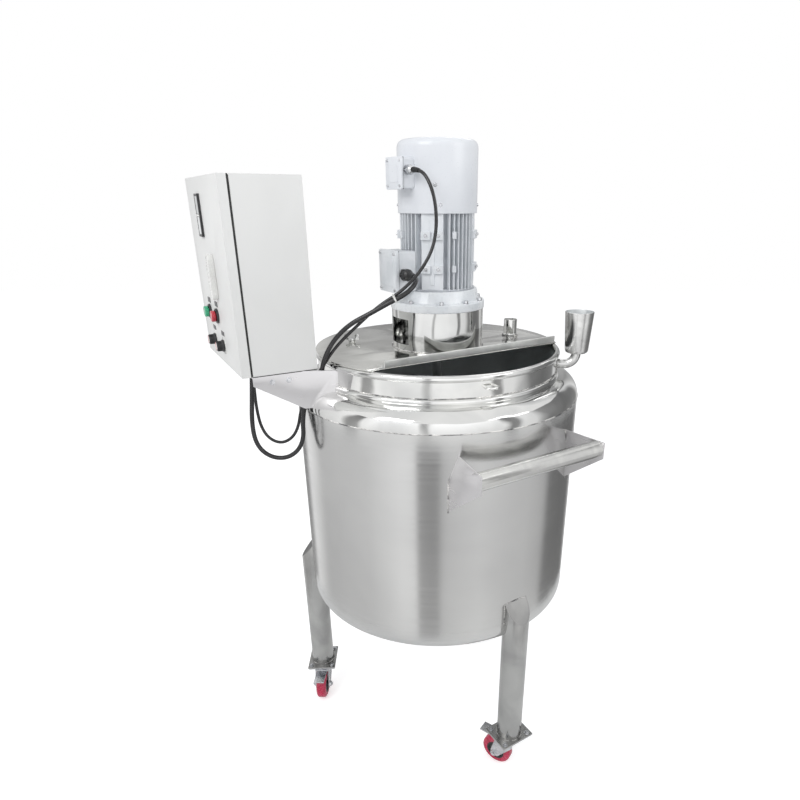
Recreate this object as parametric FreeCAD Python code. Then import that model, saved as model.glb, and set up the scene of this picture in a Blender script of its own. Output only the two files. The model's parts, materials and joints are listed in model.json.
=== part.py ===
import FreeCAD, Part
import math
import os

# Mobile jacketed mixing tank: an open-topped vessel on three caster legs, with a vertical motor
# on its half lid, a push bar, a filling cup and a control cabinet on a side arm.
# Lengths are in millimetres, angles in degrees. Every piece is built about the tank's axis, with
# the floor at height 0. A bearing is an angle round that axis from -Y towards +X.

V = FreeCAD.Vector
UP = V(0, 0, 1)

# Driving dimensions: the way the machine faces
FRONT = 32.5
TURN = 360.0

# Vessel
NECK_R = 290.0
NECK_WALL = 3.0
RIM_TOP = 1075.0
RIM_ROD_R = 7.5
POT_FLOOR = 500.0
POT_KNUCKLE = 60.0
POT_DISH = 45.0
JACKET_GAP = 55.0
JACKET_WALL = 3.0
JACKET_TOP = 969.0
JACKET_BOTTOM = 475.0
SHOULDER_ROUND = 44.0
BEAD_R = 7.0
JACKET_KNUCKLE = 45.0
JACKET_DISH = 30.0
OUTLET_R = 25.0
OUTLET_WALL = 2.0
OUTLET_BELOW = 60.0
FERRULE_R = 32.0
FERRULE_THICK = 6.0

# Half lid and what stands on it
LID_OVERLAP = 4.0
LID_THICK = 3.0
CHORD_OFFSET = 143.5
EDGE_BAR_HEIGHT = 16.0
EDGE_BAR_THICK = 4.0
EDGE_BAR_LEFT_GAP = 34.5
EDGE_BAR_RIGHT_GAP = 4.5
SHAFT_HOLE_R = 20.0
NOZZLE_BEARING = 120.5
NOZZLE_INSET = 73.5
NOZZLE_R = 17.0
NOZZLE_WALL = 2.0
NOZZLE_HEIGHT = 40.0
CLAMP_INSET = 83.0
CLAMP_Y = 10.0
CLAMP_R = 9.0
CLAMP_HEIGHT = 22.0
CLAMP_WING = 6.0
STAPLE_BEARING = 22.0
STAPLE_HEIGHT = 1048.0
STAPLE_REACH = 18.0
STAPLE_WIDTH = 26.0
STAPLE_ROD_R = 3.0

# Filling cup
CUP_BEARING = 81.0
CUP_CLEAR = 44.0
CUP_TOP = 1164.0
CUP_BOTTOM = 1068.0
CUP_TOP_R = 33.5
CUP_BOTTOM_R = 27.0
CUP_WALL = 2.0
ELBOW_R = 11.0
ELBOW_WALL = 2.0
ELBOW_BEND = 26.0
ELBOW_HEIGHT = 1040.0
CUP_FOOT_ROUND = 5.0

# Drive
PEDESTAL_R = 109.0
PEDESTAL_WALL = 5.0
PEDESTAL_HEIGHT = 90.0
WINDOW_BEARING = -60.0
WINDOW_HALF_WIDTH = 41.0
WINDOW_LOW = 14.0
WINDOW_HIGH = 72.0
FLANGE_R = 111.0
FLANGE_THICK = 18.0
FLANGE_NECK_R = 98.0
FLANGE_NECK_HEIGHT = 26.0
CORE_R = 70.0
FIN_R = 86.0
FIN_THICK = 2.6
FIN_COUNT = 48
FIN_CLEAR = 2.0
FRAME_HEIGHT = 162.0
END_SHIELD_HEIGHT = 16.0
PAD_COUNT = 4
PAD_BEARING = -8.0
PAD_WIDTH = 48.0
PAD_OUT = 82.0
LUG_SIZE = 14.0
LUG_APART = 28.0
LUG_OUT = 89.0
LUG_HEIGHTS = (48.0, 118.0)
COWL_R = 89.0
COWL_WALL = 2.5
COWL_HEIGHT = 146.0
COWL_ROUND = 18.0
COWL_SLOTS = 12
COWL_SLOT_IN = 22.0
COWL_SLOT_OUT = 66.0
COWL_SLOT_WIDTH = 8.0

# Terminal boxes and glands
BOX_BEARING = -60.0
BOX_OUT = 129.0
BOX_WIDTH = 84.0
BOX_HEIGHT = 90.0
BOX_LOW = 1210.0
BOX_ROUND = 5.0
COVER_THICK = 8.0
COVER_LIP = 1.5
FAN_BOX_BEARING = -50.0
FAN_BOX_OUT = 120.0
FAN_BOX_WIDTH = 56.0
FAN_BOX_HEIGHT = 62.0
FAN_BOX_LOW = 1421.0
FAN_COVER_THICK = 5.0
GLAND_R = 13.0
GLAND_LENGTH = 25.5
GLAND_Z = 1250.0
FAN_GLAND_R = 10.0
FAN_GLAND_LENGTH = 19.5
FAN_GLAND_Z = 1458.0
GLAND_DOME_LOW = 0.9
GLAND_DOME_TOP = 0.6

# Agitator
SHAFT_R = 12.5
SHAFT_BOTTOM = 560.0
COUPLING_R = 30.0
COUPLING_HEIGHT = 62.0
TURNING_GAP = 0.3
HUB_R = 24.0
HUB_HEIGHT = 44.0
BLADE_R = 130.0
BLADE_WIDTH = 50.0
BLADE_THICK = 5.0
BLADE_PITCH = 40.0
BLADE_COUNT = 4

# Legs and casters
LEG_COUNT = 3
LEG_OFFSET = 5.0
LEG_R = 31.5
LEG_WALL = 2.5
LEG_TOP = 530.0
LEG_SLOPE = 52.0
FOOT_LENGTH = 95.0
FOOT_WIDTH = 80.0
FOOT_THICK = 4.0
CASTER_HEIGHT = 112.0
CASTER_PLATE_THICK = 3.0
RACE_R = 27.0
RACE_HEIGHT = 9.0
FORK_THICK = 3.0
FORK_GAP = 36.0
CROWN_R = 27.0
CROWN_BACK = 21.6
TRAIL = 30.0
WHEEL_R = 40.0
WHEEL_WIDTH = 28.0
HUB_WHEEL_R = 25.0
HUB_WHEEL_WIDTH = 34.0
AXLE_R = 5.0
AXLE_FIT = 0.05
AXLE_NUT_R = 8.0
AXLE_NUT_HEIGHT = 5.0
CASTER_HEADINGS = (146.0, -92.0, 60.0)
PEDAL_WIDTH = 30.0
PEDAL_THICK = 3.0
PEDAL_LENGTH = 52.0
PEDAL_PIN_R = 2.5
PEDAL_Z = 88.0
TREAD_ROUND = 4.7

# Push bar
BAR_CLEAR = 50.0
BAR_HALF = 163.0
BAR_Z = 900.0
BAR_R = 19.0
BAR_WALL = 2.0
BRACKET_THICK = 3.0
BRACKET_ROOT_LOW = 793.0
BRACKET_ROOT_FOLD = 867.0
BRACKET_ROOT_HIGH = 922.0
BRACKET_LEAN = 20.0

# Control cabinet
CABINET_X = -398.0
CABINET_Y = -275.0
CABINET_Z = 1065.0
CABINET_YAW = 30.0
CABINET_WIDTH = 330.0
CABINET_HEIGHT = 380.0
CABINET_DEPTH = 160.0
CABINET_WALL = 2.0
DOOR_DEPTH = 18.0
GASKET_THICK = 3.0
GASKET_WIDTH = 12.0
HINGE_OFF = 4.5
HINGE_R = 4.0
HINGE_PIN_R = 2.0
HINGE_LEAF = 1.5
HINGE_LEAF_LONG = 24.0
HINGE_DOOR_LONG = 17.0
HINGE_LENGTH = 56.0
HINGE_INSET = 62.0
METER_Y = 205.0
METER_DROP = 74.0
METER_WIDTH = 34.0
METER_HEIGHT = 84.0
METER_OUT = 5.0
LOCK_Y = 139.0
LOCK_Z = 187.0
LOCK_WIDTH = 24.0
LOCK_HEIGHT = 92.0
LOCK_OUT = 12.0
LOCK_STEM_R = 6.0
LATCH_LENGTH = 36.0
LATCH_WIDTH = 16.0
LATCH_THICK = 3.0
BUTTON_Y = (245.0, 170.0)
BUTTON_Z = 102.0
BUTTON_R = 12.0
BUTTON_HEAD = 9.0
BUTTON_STEM_R = 6.0
BUTTON_TRAVEL = 4.0
BUTTON_SEAT = 1.5
KNOB_Y = (225.0, 140.0)
KNOB_Z = 42.0
KNOB_R = 13.0
KNOB_OUT = 18.0
KNOB_TOP_SHARE = 0.85
KNOB_STEM_R = 4.0
STEM_FIT = 0.05
STEM_INSIDE = 6.0
SEAT_GAP = 0.3

# Arm that carries the cabinet
ARM_THICK = 4.0
ARM_FOLD = 125.0
ARM_LOW_NEAR = 20.0
ARM_LOW_FOLD = 84.0
ARM_FLANGE = 60.0
ARM_NECK_BEARING = -48.0

# Cords: where each runs, chosen by hand, about the tank's axis
MOTOR_CORD_R = 5.0
FAN_CORD_R = 3.5
ROUND_SHARE = 0.45
MOTOR_ROUTE = (
    (-60.1, -110.9, 1250),
    (-45, -137, 1250),
    (-46, -169, 1239),
    (-66, -187, 1221),
    (-102, -193, 1202),
    (-143, -195, 1182),
    (-186, -191, 1160),
    (-222, -188, 1126),
    (-244, -190, 1088),
    (-256, -188, 1045),
    (-291, -191, 1000),
    (-302, -196, 950),
    (-303, -196, 905),
    (-318, -198, 875),
    (-344, -199, 858),
    (-375, -199, 858),
    (-401, -198, 874),
    (-415, -196, 902),
    (-417, -193, 946),
    (-411, -190, 998),
    (-405, -189, 1050),
)
FAN_ROUTE = (
    (-50.5, -102.4, 1458),
    (-37.5, -118, 1457),
    (-24, -131, 1447),
    (-11, -141, 1422),
    (-3, -145, 1387),
    (-2, -146, 1345),
    (-11, -150, 1304),
    (-36, -164, 1263),
    (-75, -186, 1231),
    (-124, -181, 1198),
    (-178, -181, 1149),
    (-221, -182, 1109),
    (-254, -176, 1062),
    (-290, -175, 1014),
    (-309, -175, 966),
    (-317, -178, 926),
    (-334, -178, 898),
    (-361, -178, 885),
    (-389, -176, 897),
    (-405, -172, 926),
    (-411, -167, 966),
    (-412, -163, 1008),
    (-411.5, -161.6, 1050),
)
INLET_R = 12.0

# Worked out from the sizes above
JACKET_R = NECK_R + JACKET_GAP
LID_R = NECK_R + LID_OVERLAP
HALF_CHORD = math.sqrt(LID_R**2 - CHORD_OFFSET**2)
CLAMP_X = CLAMP_INSET - LID_R
CUP_OUT = NECK_R + CUP_CLEAR
LEG_CIRCLE_R = JACKET_R + LEG_OFFSET
BAR_OUT = JACKET_R + BAR_CLEAR
LID_TOP = RIM_TOP + LID_THICK
FLANGE_LOW = LID_TOP + PEDESTAL_HEIGHT
FRAME_LOW = FLANGE_LOW + FLANGE_THICK + FLANGE_NECK_HEIGHT
COWL_LOW = FRAME_LOW + FRAME_HEIGHT
SHOULDER_TOP = JACKET_TOP + SHOULDER_ROUND
POT_R = NECK_R - NECK_WALL
OUTLET_LOW = JACKET_BOTTOM - JACKET_KNUCKLE - JACKET_DISH - OUTLET_BELOW
METER_Z = CABINET_HEIGHT - METER_DROP
BODY_FRONT = DOOR_DEPTH + GASKET_THICK


def place(bearing, radius, height=0.0):
    """The point at a bearing round the tank's axis."""
    angle = math.radians(bearing)
    return V(radius * math.sin(angle), -radius * math.cos(angle), height)


def turned(shape, angle):
    """The shape turned about the tank's axis."""
    copy = shape.copy()
    copy.rotate(V(0, 0, 0), UP, angle)
    return copy


def cylinder(radius, low, high, x=0.0, y=0.0):
    return Part.makeCylinder(radius, high - low, V(x, y, low), UP)


def tube(outer, inner, low, high, x=0.0, y=0.0):
    margin = 1.0
    return cylinder(outer, low, high, x, y).cut(cylinder(inner, low - margin, high + margin, x, y))


def block(low, high):
    """The box between two opposite corners."""
    size = V(*high) - V(*low)
    return Part.makeBox(size.x, size.y, size.z, V(*low))


def fused(shapes):
    whole = shapes[0]
    if len(shapes) > 1:
        whole = whole.multiFuse(shapes[1:])
    return whole.removeSplitter()


def edge_through(points):
    """A straight edge through two points, or an arc through three."""
    spots = [V(r, 0, z) for r, z in points]
    if len(spots) == 2:
        return Part.makeLine(spots[0], spots[1])
    return Part.Arc(*spots).toShape()


def revolved(edges):
    """The solid made by turning an outline of (radius, height) edges about the tank's axis."""
    real = [points for points in edges if points[0] != points[-1]]
    wire = Part.Wire([edge_through(points) for points in real])
    solid = Part.Face(wire).revolve(V(0, 0, 0), UP, TURN)
    return Part.Solid(solid) if solid.ShapeType == "Shell" else solid


def dished(radius, top, straight_low, knuckle, dish):
    """A solid round body with a rounded lower edge and a shallow cone for its floor."""
    middle = math.sqrt(0.5)
    round_centre = radius - knuckle
    floor = straight_low - knuckle
    return revolved([
        ((0, top), (radius, top)),
        ((radius, top), (radius, straight_low)),
        (
            (radius, straight_low),
            (round_centre + knuckle * middle, straight_low - knuckle * middle),
            (round_centre, floor),
        ),
        ((round_centre, floor), (0, floor - dish)),
        ((0, floor - dish), (0, top)),
    ])


def shouldered(radius, top, low, rounding, neck):
    """A solid round body whose upper edge rounds over towards a neck."""
    middle = math.sqrt(0.5)
    return revolved([
        ((0, low), (radius, low)),
        ((radius, low), (radius, top)),
        (
            (radius, top),
            (radius - rounding * (1 - middle), top + rounding * middle),
            (radius - rounding, top + rounding),
        ),
        ((radius - rounding, top + rounding), (neck, top + rounding)),
        ((neck, top + rounding), (0, top + rounding)),
        ((0, top + rounding), (0, low)),
    ])


def route_edges(points):
    """Straight runs joined by tangent arcs, each as large as its two runs allow."""
    spots = [V(*point) for point in points]
    edges = []
    start = spots[0]
    radii = []
    for before, corner, after in zip(spots, spots[1:], spots[2:]):
        arrive = (corner - before).normalize()
        leave = (after - corner).normalize()
        angle = arrive.getAngle(leave)
        shorter = min((corner - before).Length, (after - corner).Length)
        cut = ROUND_SHARE * shorter
        radii.append(cut / math.tan(angle / 2))
        enter = corner - arrive * cut
        leave_at = corner + leave * cut
        bisector = (leave - arrive).normalize()
        centre = corner + bisector * (radii[-1] / math.cos(angle / 2))
        middle = centre - bisector * radii[-1]
        edges.append(Part.LineSegment(start, enter).toShape())
        edges.append(Part.Arc(enter, middle, leave_at).toShape())
        start = leave_at
    edges.append(Part.LineSegment(start, spots[-1]).toShape())
    return edges, radii


def swept(edges, radius):
    """A round bar along joined edges."""
    path = Part.Wire(edges)
    first = edges[0]
    start = first.valueAt(first.FirstParameter)
    heading = first.tangentAt(first.FirstParameter)
    section = Part.Wire([Part.makeCircle(radius, start, heading)])
    return path.makePipeShell([section], True, False)


def cord(name, points, radius):
    edges, radii = route_edges(points)
    solid = swept(edges, radius)
    length = sum(edge.Length for edge in edges)
    expected = math.pi * radius**2 * length
    print(name, "length", round(length), "volume ratio", round(solid.Volume / expected, 4))
    print(name, "bend radii in diameters", [round(r / (2 * radius), 1) for r in radii])
    return solid


def bent_bar(points, radius):
    edges, _ = route_edges(points)
    return swept(edges, radius)


# Solids that other pieces are fitted to
def pot_outside():
    return dished(NECK_R, RIM_TOP - RIM_ROD_R, POT_FLOOR + POT_KNUCKLE, POT_KNUCKLE, POT_DISH)


def pot_inside():
    top = RIM_TOP + RIM_ROD_R
    return dished(POT_R, top, POT_FLOOR + POT_KNUCKLE, POT_KNUCKLE - NECK_WALL, POT_DISH)


def jacket_outside():
    lower = dished(JACKET_R, JACKET_TOP, JACKET_BOTTOM, JACKET_KNUCKLE, JACKET_DISH)
    upper = shouldered(JACKET_R, JACKET_TOP, JACKET_BOTTOM, SHOULDER_ROUND, NECK_R)
    return lower.fuse(upper)


def neck_bead():
    """The round bead where the jacket's shoulder meets the neck."""
    return Part.makeTorus(NECK_R, BEAD_R, V(0, 0, SHOULDER_TOP + BEAD_R - 1), UP)


# Vessel
def inner_tank():
    shell = pot_outside().cut(pot_inside())
    return shell.cut(cylinder(OUTLET_R - OUTLET_WALL, OUTLET_LOW, RIM_TOP))


def rim_ring():
    centre = RIM_TOP - RIM_ROD_R
    ring = Part.makeTorus(NECK_R - NECK_WALL / 2, RIM_ROD_R, V(0, 0, centre), UP)
    return ring.cut(tube(NECK_R, POT_R, centre - RIM_ROD_R, centre))


def jacket_shell():
    return tube(JACKET_R, JACKET_R - JACKET_WALL, JACKET_BOTTOM, JACKET_TOP)


def jacket_shoulder():
    outer = shouldered(JACKET_R, JACKET_TOP, JACKET_TOP - 1, SHOULDER_ROUND, NECK_R)
    inner = shouldered(
        JACKET_R - JACKET_WALL,
        JACKET_TOP,
        JACKET_TOP - 1,
        SHOULDER_ROUND - JACKET_WALL,
        NECK_R,
    )
    band = tube(JACKET_R + 1, NECK_R, JACKET_TOP, SHOULDER_TOP + 2 * BEAD_R)
    return outer.cut(inner).fuse(neck_bead()).common(band)


def jacket_bottom():
    outer = dished(JACKET_R, JACKET_BOTTOM, JACKET_BOTTOM, JACKET_KNUCKLE, JACKET_DISH)
    inner = dished(
        JACKET_R - JACKET_WALL,
        JACKET_BOTTOM,
        JACKET_BOTTOM,
        JACKET_KNUCKLE - JACKET_WALL,
        JACKET_DISH,
    )
    return outer.cut(inner).cut(cylinder(OUTLET_R, OUTLET_LOW, JACKET_BOTTOM))


def outlet_pipe():
    top = POT_FLOOR + POT_KNUCKLE
    pipe = tube(OUTLET_R, OUTLET_R - OUTLET_WALL, OUTLET_LOW, top).cut(pot_outside())
    ferrule = tube(FERRULE_R, OUTLET_R - OUTLET_WALL, OUTLET_LOW, OUTLET_LOW + FERRULE_THICK)
    return pipe.fuse(ferrule)


# Half lid
def nozzle_centre():
    return place(NOZZLE_BEARING, LID_R - NOZZLE_INSET)


def fixed_lid():
    plate = cylinder(LID_R, RIM_TOP, LID_TOP)
    reach = 2 * LID_R
    away = block((-reach, -reach, 0), (reach, -CHORD_OFFSET, 2 * RIM_TOP))
    plate = plate.cut(turned(away, FRONT))
    plate = plate.cut(cylinder(SHAFT_HOLE_R, 0, 2 * RIM_TOP))
    spot = nozzle_centre()
    return plate.cut(cylinder(NOZZLE_R - NOZZLE_WALL, 0, 2 * RIM_TOP, spot.x, spot.y))


def lid_edge_bar():
    bar = block(
        (EDGE_BAR_LEFT_GAP - HALF_CHORD, -CHORD_OFFSET, LID_TOP),
        (HALF_CHORD - EDGE_BAR_RIGHT_GAP, EDGE_BAR_THICK - CHORD_OFFSET, LID_TOP + EDGE_BAR_HEIGHT),
    )
    return turned(bar, FRONT)


def lid_clamp():
    """A wing nut on its post."""
    middle = LID_TOP + CLAMP_HEIGHT / 2
    half = CLAMP_WING / 2
    post = cylinder(CLAMP_R, LID_TOP, middle, CLAMP_X, CLAMP_Y)
    wing = block(
        (CLAMP_X - 2 * CLAMP_R, CLAMP_Y - half, middle - half),
        (CLAMP_X + 2 * CLAMP_R, CLAMP_Y + half, LID_TOP + CLAMP_HEIGHT),
    )
    notch = cylinder(CLAMP_R, middle, middle + CLAMP_HEIGHT, CLAMP_X, CLAMP_Y)
    return post.fuse(wing.cut(notch)).removeSplitter()


def lid_nozzle():
    spot = nozzle_centre()
    bore = NOZZLE_R - NOZZLE_WALL
    collar_top = LID_TOP + 2 * NOZZLE_WALL
    pipe = tube(NOZZLE_R, bore, LID_TOP, LID_TOP + NOZZLE_HEIGHT, spot.x, spot.y)
    collar = tube(NOZZLE_R + NOZZLE_WALL, bore, LID_TOP, collar_top, spot.x, spot.y)
    return pipe.fuse(collar).removeSplitter()


def latch_staple():
    half = STAPLE_WIDTH / 2
    out = NECK_R + STAPLE_REACH
    root = NECK_R - NECK_WALL
    bar = bent_bar(
        (
            (-half, -root, STAPLE_HEIGHT),
            (-half, -out, STAPLE_HEIGHT),
            (half, -out, STAPLE_HEIGHT),
            (half, -root, STAPLE_HEIGHT),
        ),
        STAPLE_ROD_R,
    )
    return turned(bar.cut(cylinder(NECK_R, 0, RIM_TOP)), STAPLE_BEARING)


# Filling cup: a tapered cup and the elbow that carries it on the neck
def cup_centre():
    return place(CUP_BEARING, CUP_OUT)


def feed_cup():
    height = CUP_TOP - CUP_BOTTOM
    outer = Part.makeCone(CUP_BOTTOM_R, CUP_TOP_R, height, V(0, 0, CUP_BOTTOM), UP)
    inner = Part.makeCone(
        CUP_BOTTOM_R - CUP_WALL,
        CUP_TOP_R - CUP_WALL,
        height,
        V(0, 0, CUP_BOTTOM + CUP_WALL),
        UP,
    )
    lower = [edge for edge in outer.Edges if edge.BoundBox.ZMax < CUP_BOTTOM + 1]
    outer = outer.makeFillet(CUP_FOOT_ROUND, lower[:1])
    cup = outer.cut(inner).cut(cylinder(ELBOW_R - ELBOW_WALL, 0, CUP_TOP))
    cup.translate(cup_centre())
    return cup


def feed_elbow():
    centre = CUP_OUT
    inner_end = NECK_R - NECK_WALL

    def run(radius):
        down = CUP_BOTTOM
        bend_low = ELBOW_HEIGHT + ELBOW_BEND
        middle = math.sqrt(0.5) * ELBOW_BEND
        arc_centre = V(0, ELBOW_BEND - centre, bend_low)
        start = V(0, -centre, bend_low)
        end = V(0, ELBOW_BEND - centre, ELBOW_HEIGHT)
        through = arc_centre + V(0, -middle, -middle)
        edges = [
            Part.makeLine(V(0, -centre, down), start),
            Part.Arc(start, through, end).toShape(),
            Part.makeLine(end, V(0, -inner_end, ELBOW_HEIGHT)),
        ]
        return swept(edges, radius)

    pipe = run(ELBOW_R).cut(run(ELBOW_R - ELBOW_WALL))
    return turned(pipe.cut(cylinder(NECK_R, 0, RIM_TOP)), CUP_BEARING)


# Drive
def drive_pedestal():
    shell = tube(PEDESTAL_R, PEDESTAL_R - PEDESTAL_WALL, LID_TOP, FLANGE_LOW)
    reach = 2 * PEDESTAL_R
    window = block(
        (-WINDOW_HALF_WIDTH, -reach, LID_TOP + WINDOW_LOW),
        (WINDOW_HALF_WIDTH, reach, LID_TOP + WINDOW_HIGH),
    )
    return shell.cut(turned(window, WINDOW_BEARING))


def motor_flange():
    low = FLANGE_LOW
    disc = cylinder(FLANGE_R, low, low + FLANGE_THICK)
    return disc.fuse(cylinder(FLANGE_NECK_R, low + FLANGE_THICK, FRAME_LOW)).removeSplitter()


def motor_frame():
    """The finned frame: a barrel, cooling fins, flat pads with pairs of lugs and the end shields."""
    low = FRAME_LOW
    high = FRAME_LOW + FRAME_HEIGHT
    fin_low = low + END_SHIELD_HEIGHT / 2
    fin_high = high - END_SHIELD_HEIGHT
    half = FIN_THICK / 2
    pieces = [cylinder(CORE_R, low, high)]
    fin = block((-half, -FIN_R, fin_low), (half, half - CORE_R, fin_high))
    pad_half = PAD_WIDTH / 2
    pad = block((-pad_half, -PAD_OUT, fin_low), (pad_half, pad_half - CORE_R, fin_high))
    lug_half = LUG_SIZE / 2
    share = TURN / PAD_COUNT
    clear = math.degrees(math.asin(pad_half / CORE_R)) + FIN_CLEAR
    step = TURN / FIN_COUNT
    for index in range(FIN_COUNT):
        off_pad = ((index + 0.5) * step + share / 2) % share - share / 2
        if abs(off_pad) > clear:
            pieces.append(turned(fin, PAD_BEARING + (index + 0.5) * step))
    for index in range(PAD_COUNT):
        bearing = PAD_BEARING + index * share
        pieces.append(turned(pad, bearing))
        for height in LUG_HEIGHTS:
            for middle in (-LUG_APART / 2, LUG_APART / 2):
                lug = block(
                    (middle - lug_half, -LUG_OUT, low + height - lug_half),
                    (middle + lug_half, -PAD_OUT + lug_half, low + height + lug_half),
                )
                pieces.append(turned(lug, bearing))
    pieces.append(cylinder(FIN_R, low, fin_low))
    pieces.append(cylinder(FIN_R, fin_high, high))
    spigot_r = COWL_R - COWL_WALL
    pieces.append(cylinder(spigot_r, high, high + END_SHIELD_HEIGHT))
    return fused(pieces)


def fan_cowl():
    low = COWL_LOW
    top = low + COWL_HEIGHT
    outer = cylinder(COWL_R, low, top)
    rim = [edge for edge in outer.Edges if edge.BoundBox.ZMin > top - 1]
    outer = outer.makeFillet(COWL_ROUND, rim[:1])
    inner = cylinder(COWL_R - COWL_WALL, low, top - COWL_WALL)
    rim = [edge for edge in inner.Edges if edge.BoundBox.ZMin > top - COWL_WALL - 1]
    inner = inner.makeFillet(COWL_ROUND - COWL_WALL, rim[:1])
    cowl = outer.cut(inner)
    half = COWL_SLOT_WIDTH / 2
    slot = block((-half, -COWL_SLOT_OUT, low + COWL_HEIGHT / 2), (half, -COWL_SLOT_IN, top + 1))
    for index in range(COWL_SLOTS):
        cowl = cowl.cut(turned(slot, index * TURN / COWL_SLOTS))
    return cowl


def rounded_block(low, high):
    """A block whose edges that run outwards are rounded."""
    box = block(low, high)
    corners = [edge for edge in box.Edges if edge.BoundBox.YLength > high[1] - low[1] - BOX_ROUND / 2]
    return box.makeFillet(BOX_ROUND, corners)


def side_box(bearing, out, width, low, height, cover_thick, seat_r):
    """A box with a lipped cover on the side of the motor, hollowed to sit on the round body."""
    half = width / 2
    high = low + height
    inset = half - COVER_LIP
    cover_back = cover_thick - out
    cover = rounded_block((-half, -out, low), (half, cover_back, high))
    body = rounded_block((-inset, cover_back, low + COVER_LIP), (inset, 0, high - COVER_LIP))
    box = cover.fuse(body).cut(cylinder(seat_r, low - 1, high + 1))
    return turned(box, bearing)


def terminal_box():
    box = side_box(BOX_BEARING, BOX_OUT, BOX_WIDTH, BOX_LOW, BOX_HEIGHT, COVER_THICK, LUG_OUT)
    half = BOX_WIDTH / 4
    neck = block(
        (-half, -LUG_OUT - BOX_ROUND, BOX_LOW + BOX_ROUND),
        (half, 0, BOX_LOW + BOX_HEIGHT - BOX_ROUND),
    )
    neck = turned(neck.cut(cylinder(FIN_R, 0, COWL_LOW)), BOX_BEARING)
    low_ring = cylinder(FLANGE_NECK_R, FLANGE_LOW, FRAME_LOW)
    return box.fuse(neck).cut(low_ring).cut(motor_frame()).removeSplitter()


def fan_terminal_box():
    return side_box(
        FAN_BOX_BEARING,
        FAN_BOX_OUT,
        FAN_BOX_WIDTH,
        FAN_BOX_LOW,
        FAN_BOX_HEIGHT,
        FAN_COVER_THICK,
        COWL_R,
    )


def gland(bearing, width, radius, length, height, out):
    """A cable gland on the side of a box: a nut, then a dome that the cord leaves."""
    base = V(width / 2 - COVER_LIP, -out, height)
    side = V(1, 0, 0)
    half = length / 2
    nut = Part.makeCylinder(radius, half, base, side)
    dome = Part.makeCone(
        radius * GLAND_DOME_LOW, radius * GLAND_DOME_TOP, half, base + side * half, side
    )
    return turned(nut.fuse(dome), bearing)


def motor_gland():
    middle = (BOX_OUT + FIN_R) / 2
    return gland(BOX_BEARING, BOX_WIDTH, GLAND_R, GLAND_LENGTH, GLAND_Z, middle)


def fan_gland():
    middle = (FAN_BOX_OUT + COWL_R) / 2
    return gland(FAN_BOX_BEARING, FAN_BOX_WIDTH, FAN_GLAND_R, FAN_GLAND_LENGTH, FAN_GLAND_Z, middle)


# Agitator: the coupling under the motor, the shaft and the impeller
def coupling_top():
    return FLANGE_LOW - TURNING_GAP


def agitator_shaft():
    return cylinder(SHAFT_R, SHAFT_BOTTOM, coupling_top() - COUPLING_HEIGHT / 2)


def shaft_coupling():
    top = coupling_top()
    body = cylinder(COUPLING_R, top - COUPLING_HEIGHT, top)
    return body.cut(cylinder(SHAFT_R, 0, top - COUPLING_HEIGHT / 2))


def impeller():
    low = SHAFT_BOTTOM
    middle = low + HUB_HEIGHT / 2
    hub = cylinder(HUB_R, low, low + HUB_HEIGHT)
    half = BLADE_WIDTH / 2
    blade = block((-half, -BLADE_R, -BLADE_THICK / 2), (half, -SHAFT_R - 1, BLADE_THICK / 2))
    blade.rotate(V(0, 0, 0), V(0, 1, 0), BLADE_PITCH)
    blade.translate(V(0, 0, middle))
    pieces = [hub]
    for index in range(BLADE_COUNT):
        pieces.append(turned(blade, index * TURN / BLADE_COUNT))
    return fused(pieces).cut(cylinder(SHAFT_R, 0, RIM_TOP))


# Legs and casters
def leg_bearing(index):
    return FRONT - index * TURN / LEG_COUNT


def leg(index):
    foot_top = CASTER_HEIGHT + FOOT_THICK
    post = tube(LEG_R, LEG_R - LEG_WALL, foot_top, LEG_TOP, 0, -LEG_CIRCLE_R)
    cap = cylinder(LEG_R, LEG_TOP - LEG_R * 3, LEG_TOP, 0, -LEG_CIRCLE_R)
    reach = 6 * LEG_R
    above = block((-reach, -reach, 0), (reach, 0, reach))
    above.rotate(V(0, 0, 0), V(1, 0, 0), LEG_SLOPE)
    above.translate(V(0, -JACKET_R, LEG_TOP))
    lid_above = above.copy()
    lid_above.translate(V(0, 0, -LEG_WALL / math.cos(math.radians(LEG_SLOPE))))
    sloping = cap.cut(above).common(lid_above)
    body = post.cut(above).fuse(sloping)
    half_length = FOOT_LENGTH / 2
    half_width = FOOT_WIDTH / 2
    foot = block(
        (-half_length, -LEG_CIRCLE_R - half_width, CASTER_HEIGHT),
        (half_length, -LEG_CIRCLE_R + half_width, foot_top),
    )
    body = body.fuse(foot).cut(jacket_outside())
    return turned(body.removeSplitter(), leg_bearing(index))


def at_leg(shape, index, heading=None):
    """A caster's piece, built about the swivel's axis, moved under its leg."""
    angle = leg_bearing(index) if heading is None else heading
    moved = turned(shape, angle)
    moved.translate(place(leg_bearing(index), LEG_CIRCLE_R))
    return moved


def across(radius, half, x, z):
    """A cylinder across the caster, from -half to half, about its middle plane."""
    return Part.makeCylinder(radius, 2 * half, V(x, -half, z), V(0, 1, 0))


def race_low():
    return CASTER_HEIGHT - CASTER_PLATE_THICK - RACE_HEIGHT


def caster_plate(index):
    half_length = FOOT_LENGTH / 2 - 1
    half_width = FOOT_WIDTH / 2 - 1
    plate = block(
        (-half_length, -half_width, CASTER_HEIGHT - CASTER_PLATE_THICK),
        (half_length, half_width, CASTER_HEIGHT),
    )
    race = cylinder(RACE_R, race_low(), CASTER_HEIGHT - CASTER_PLATE_THICK)
    return at_leg(plate.fuse(race), index)


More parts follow.
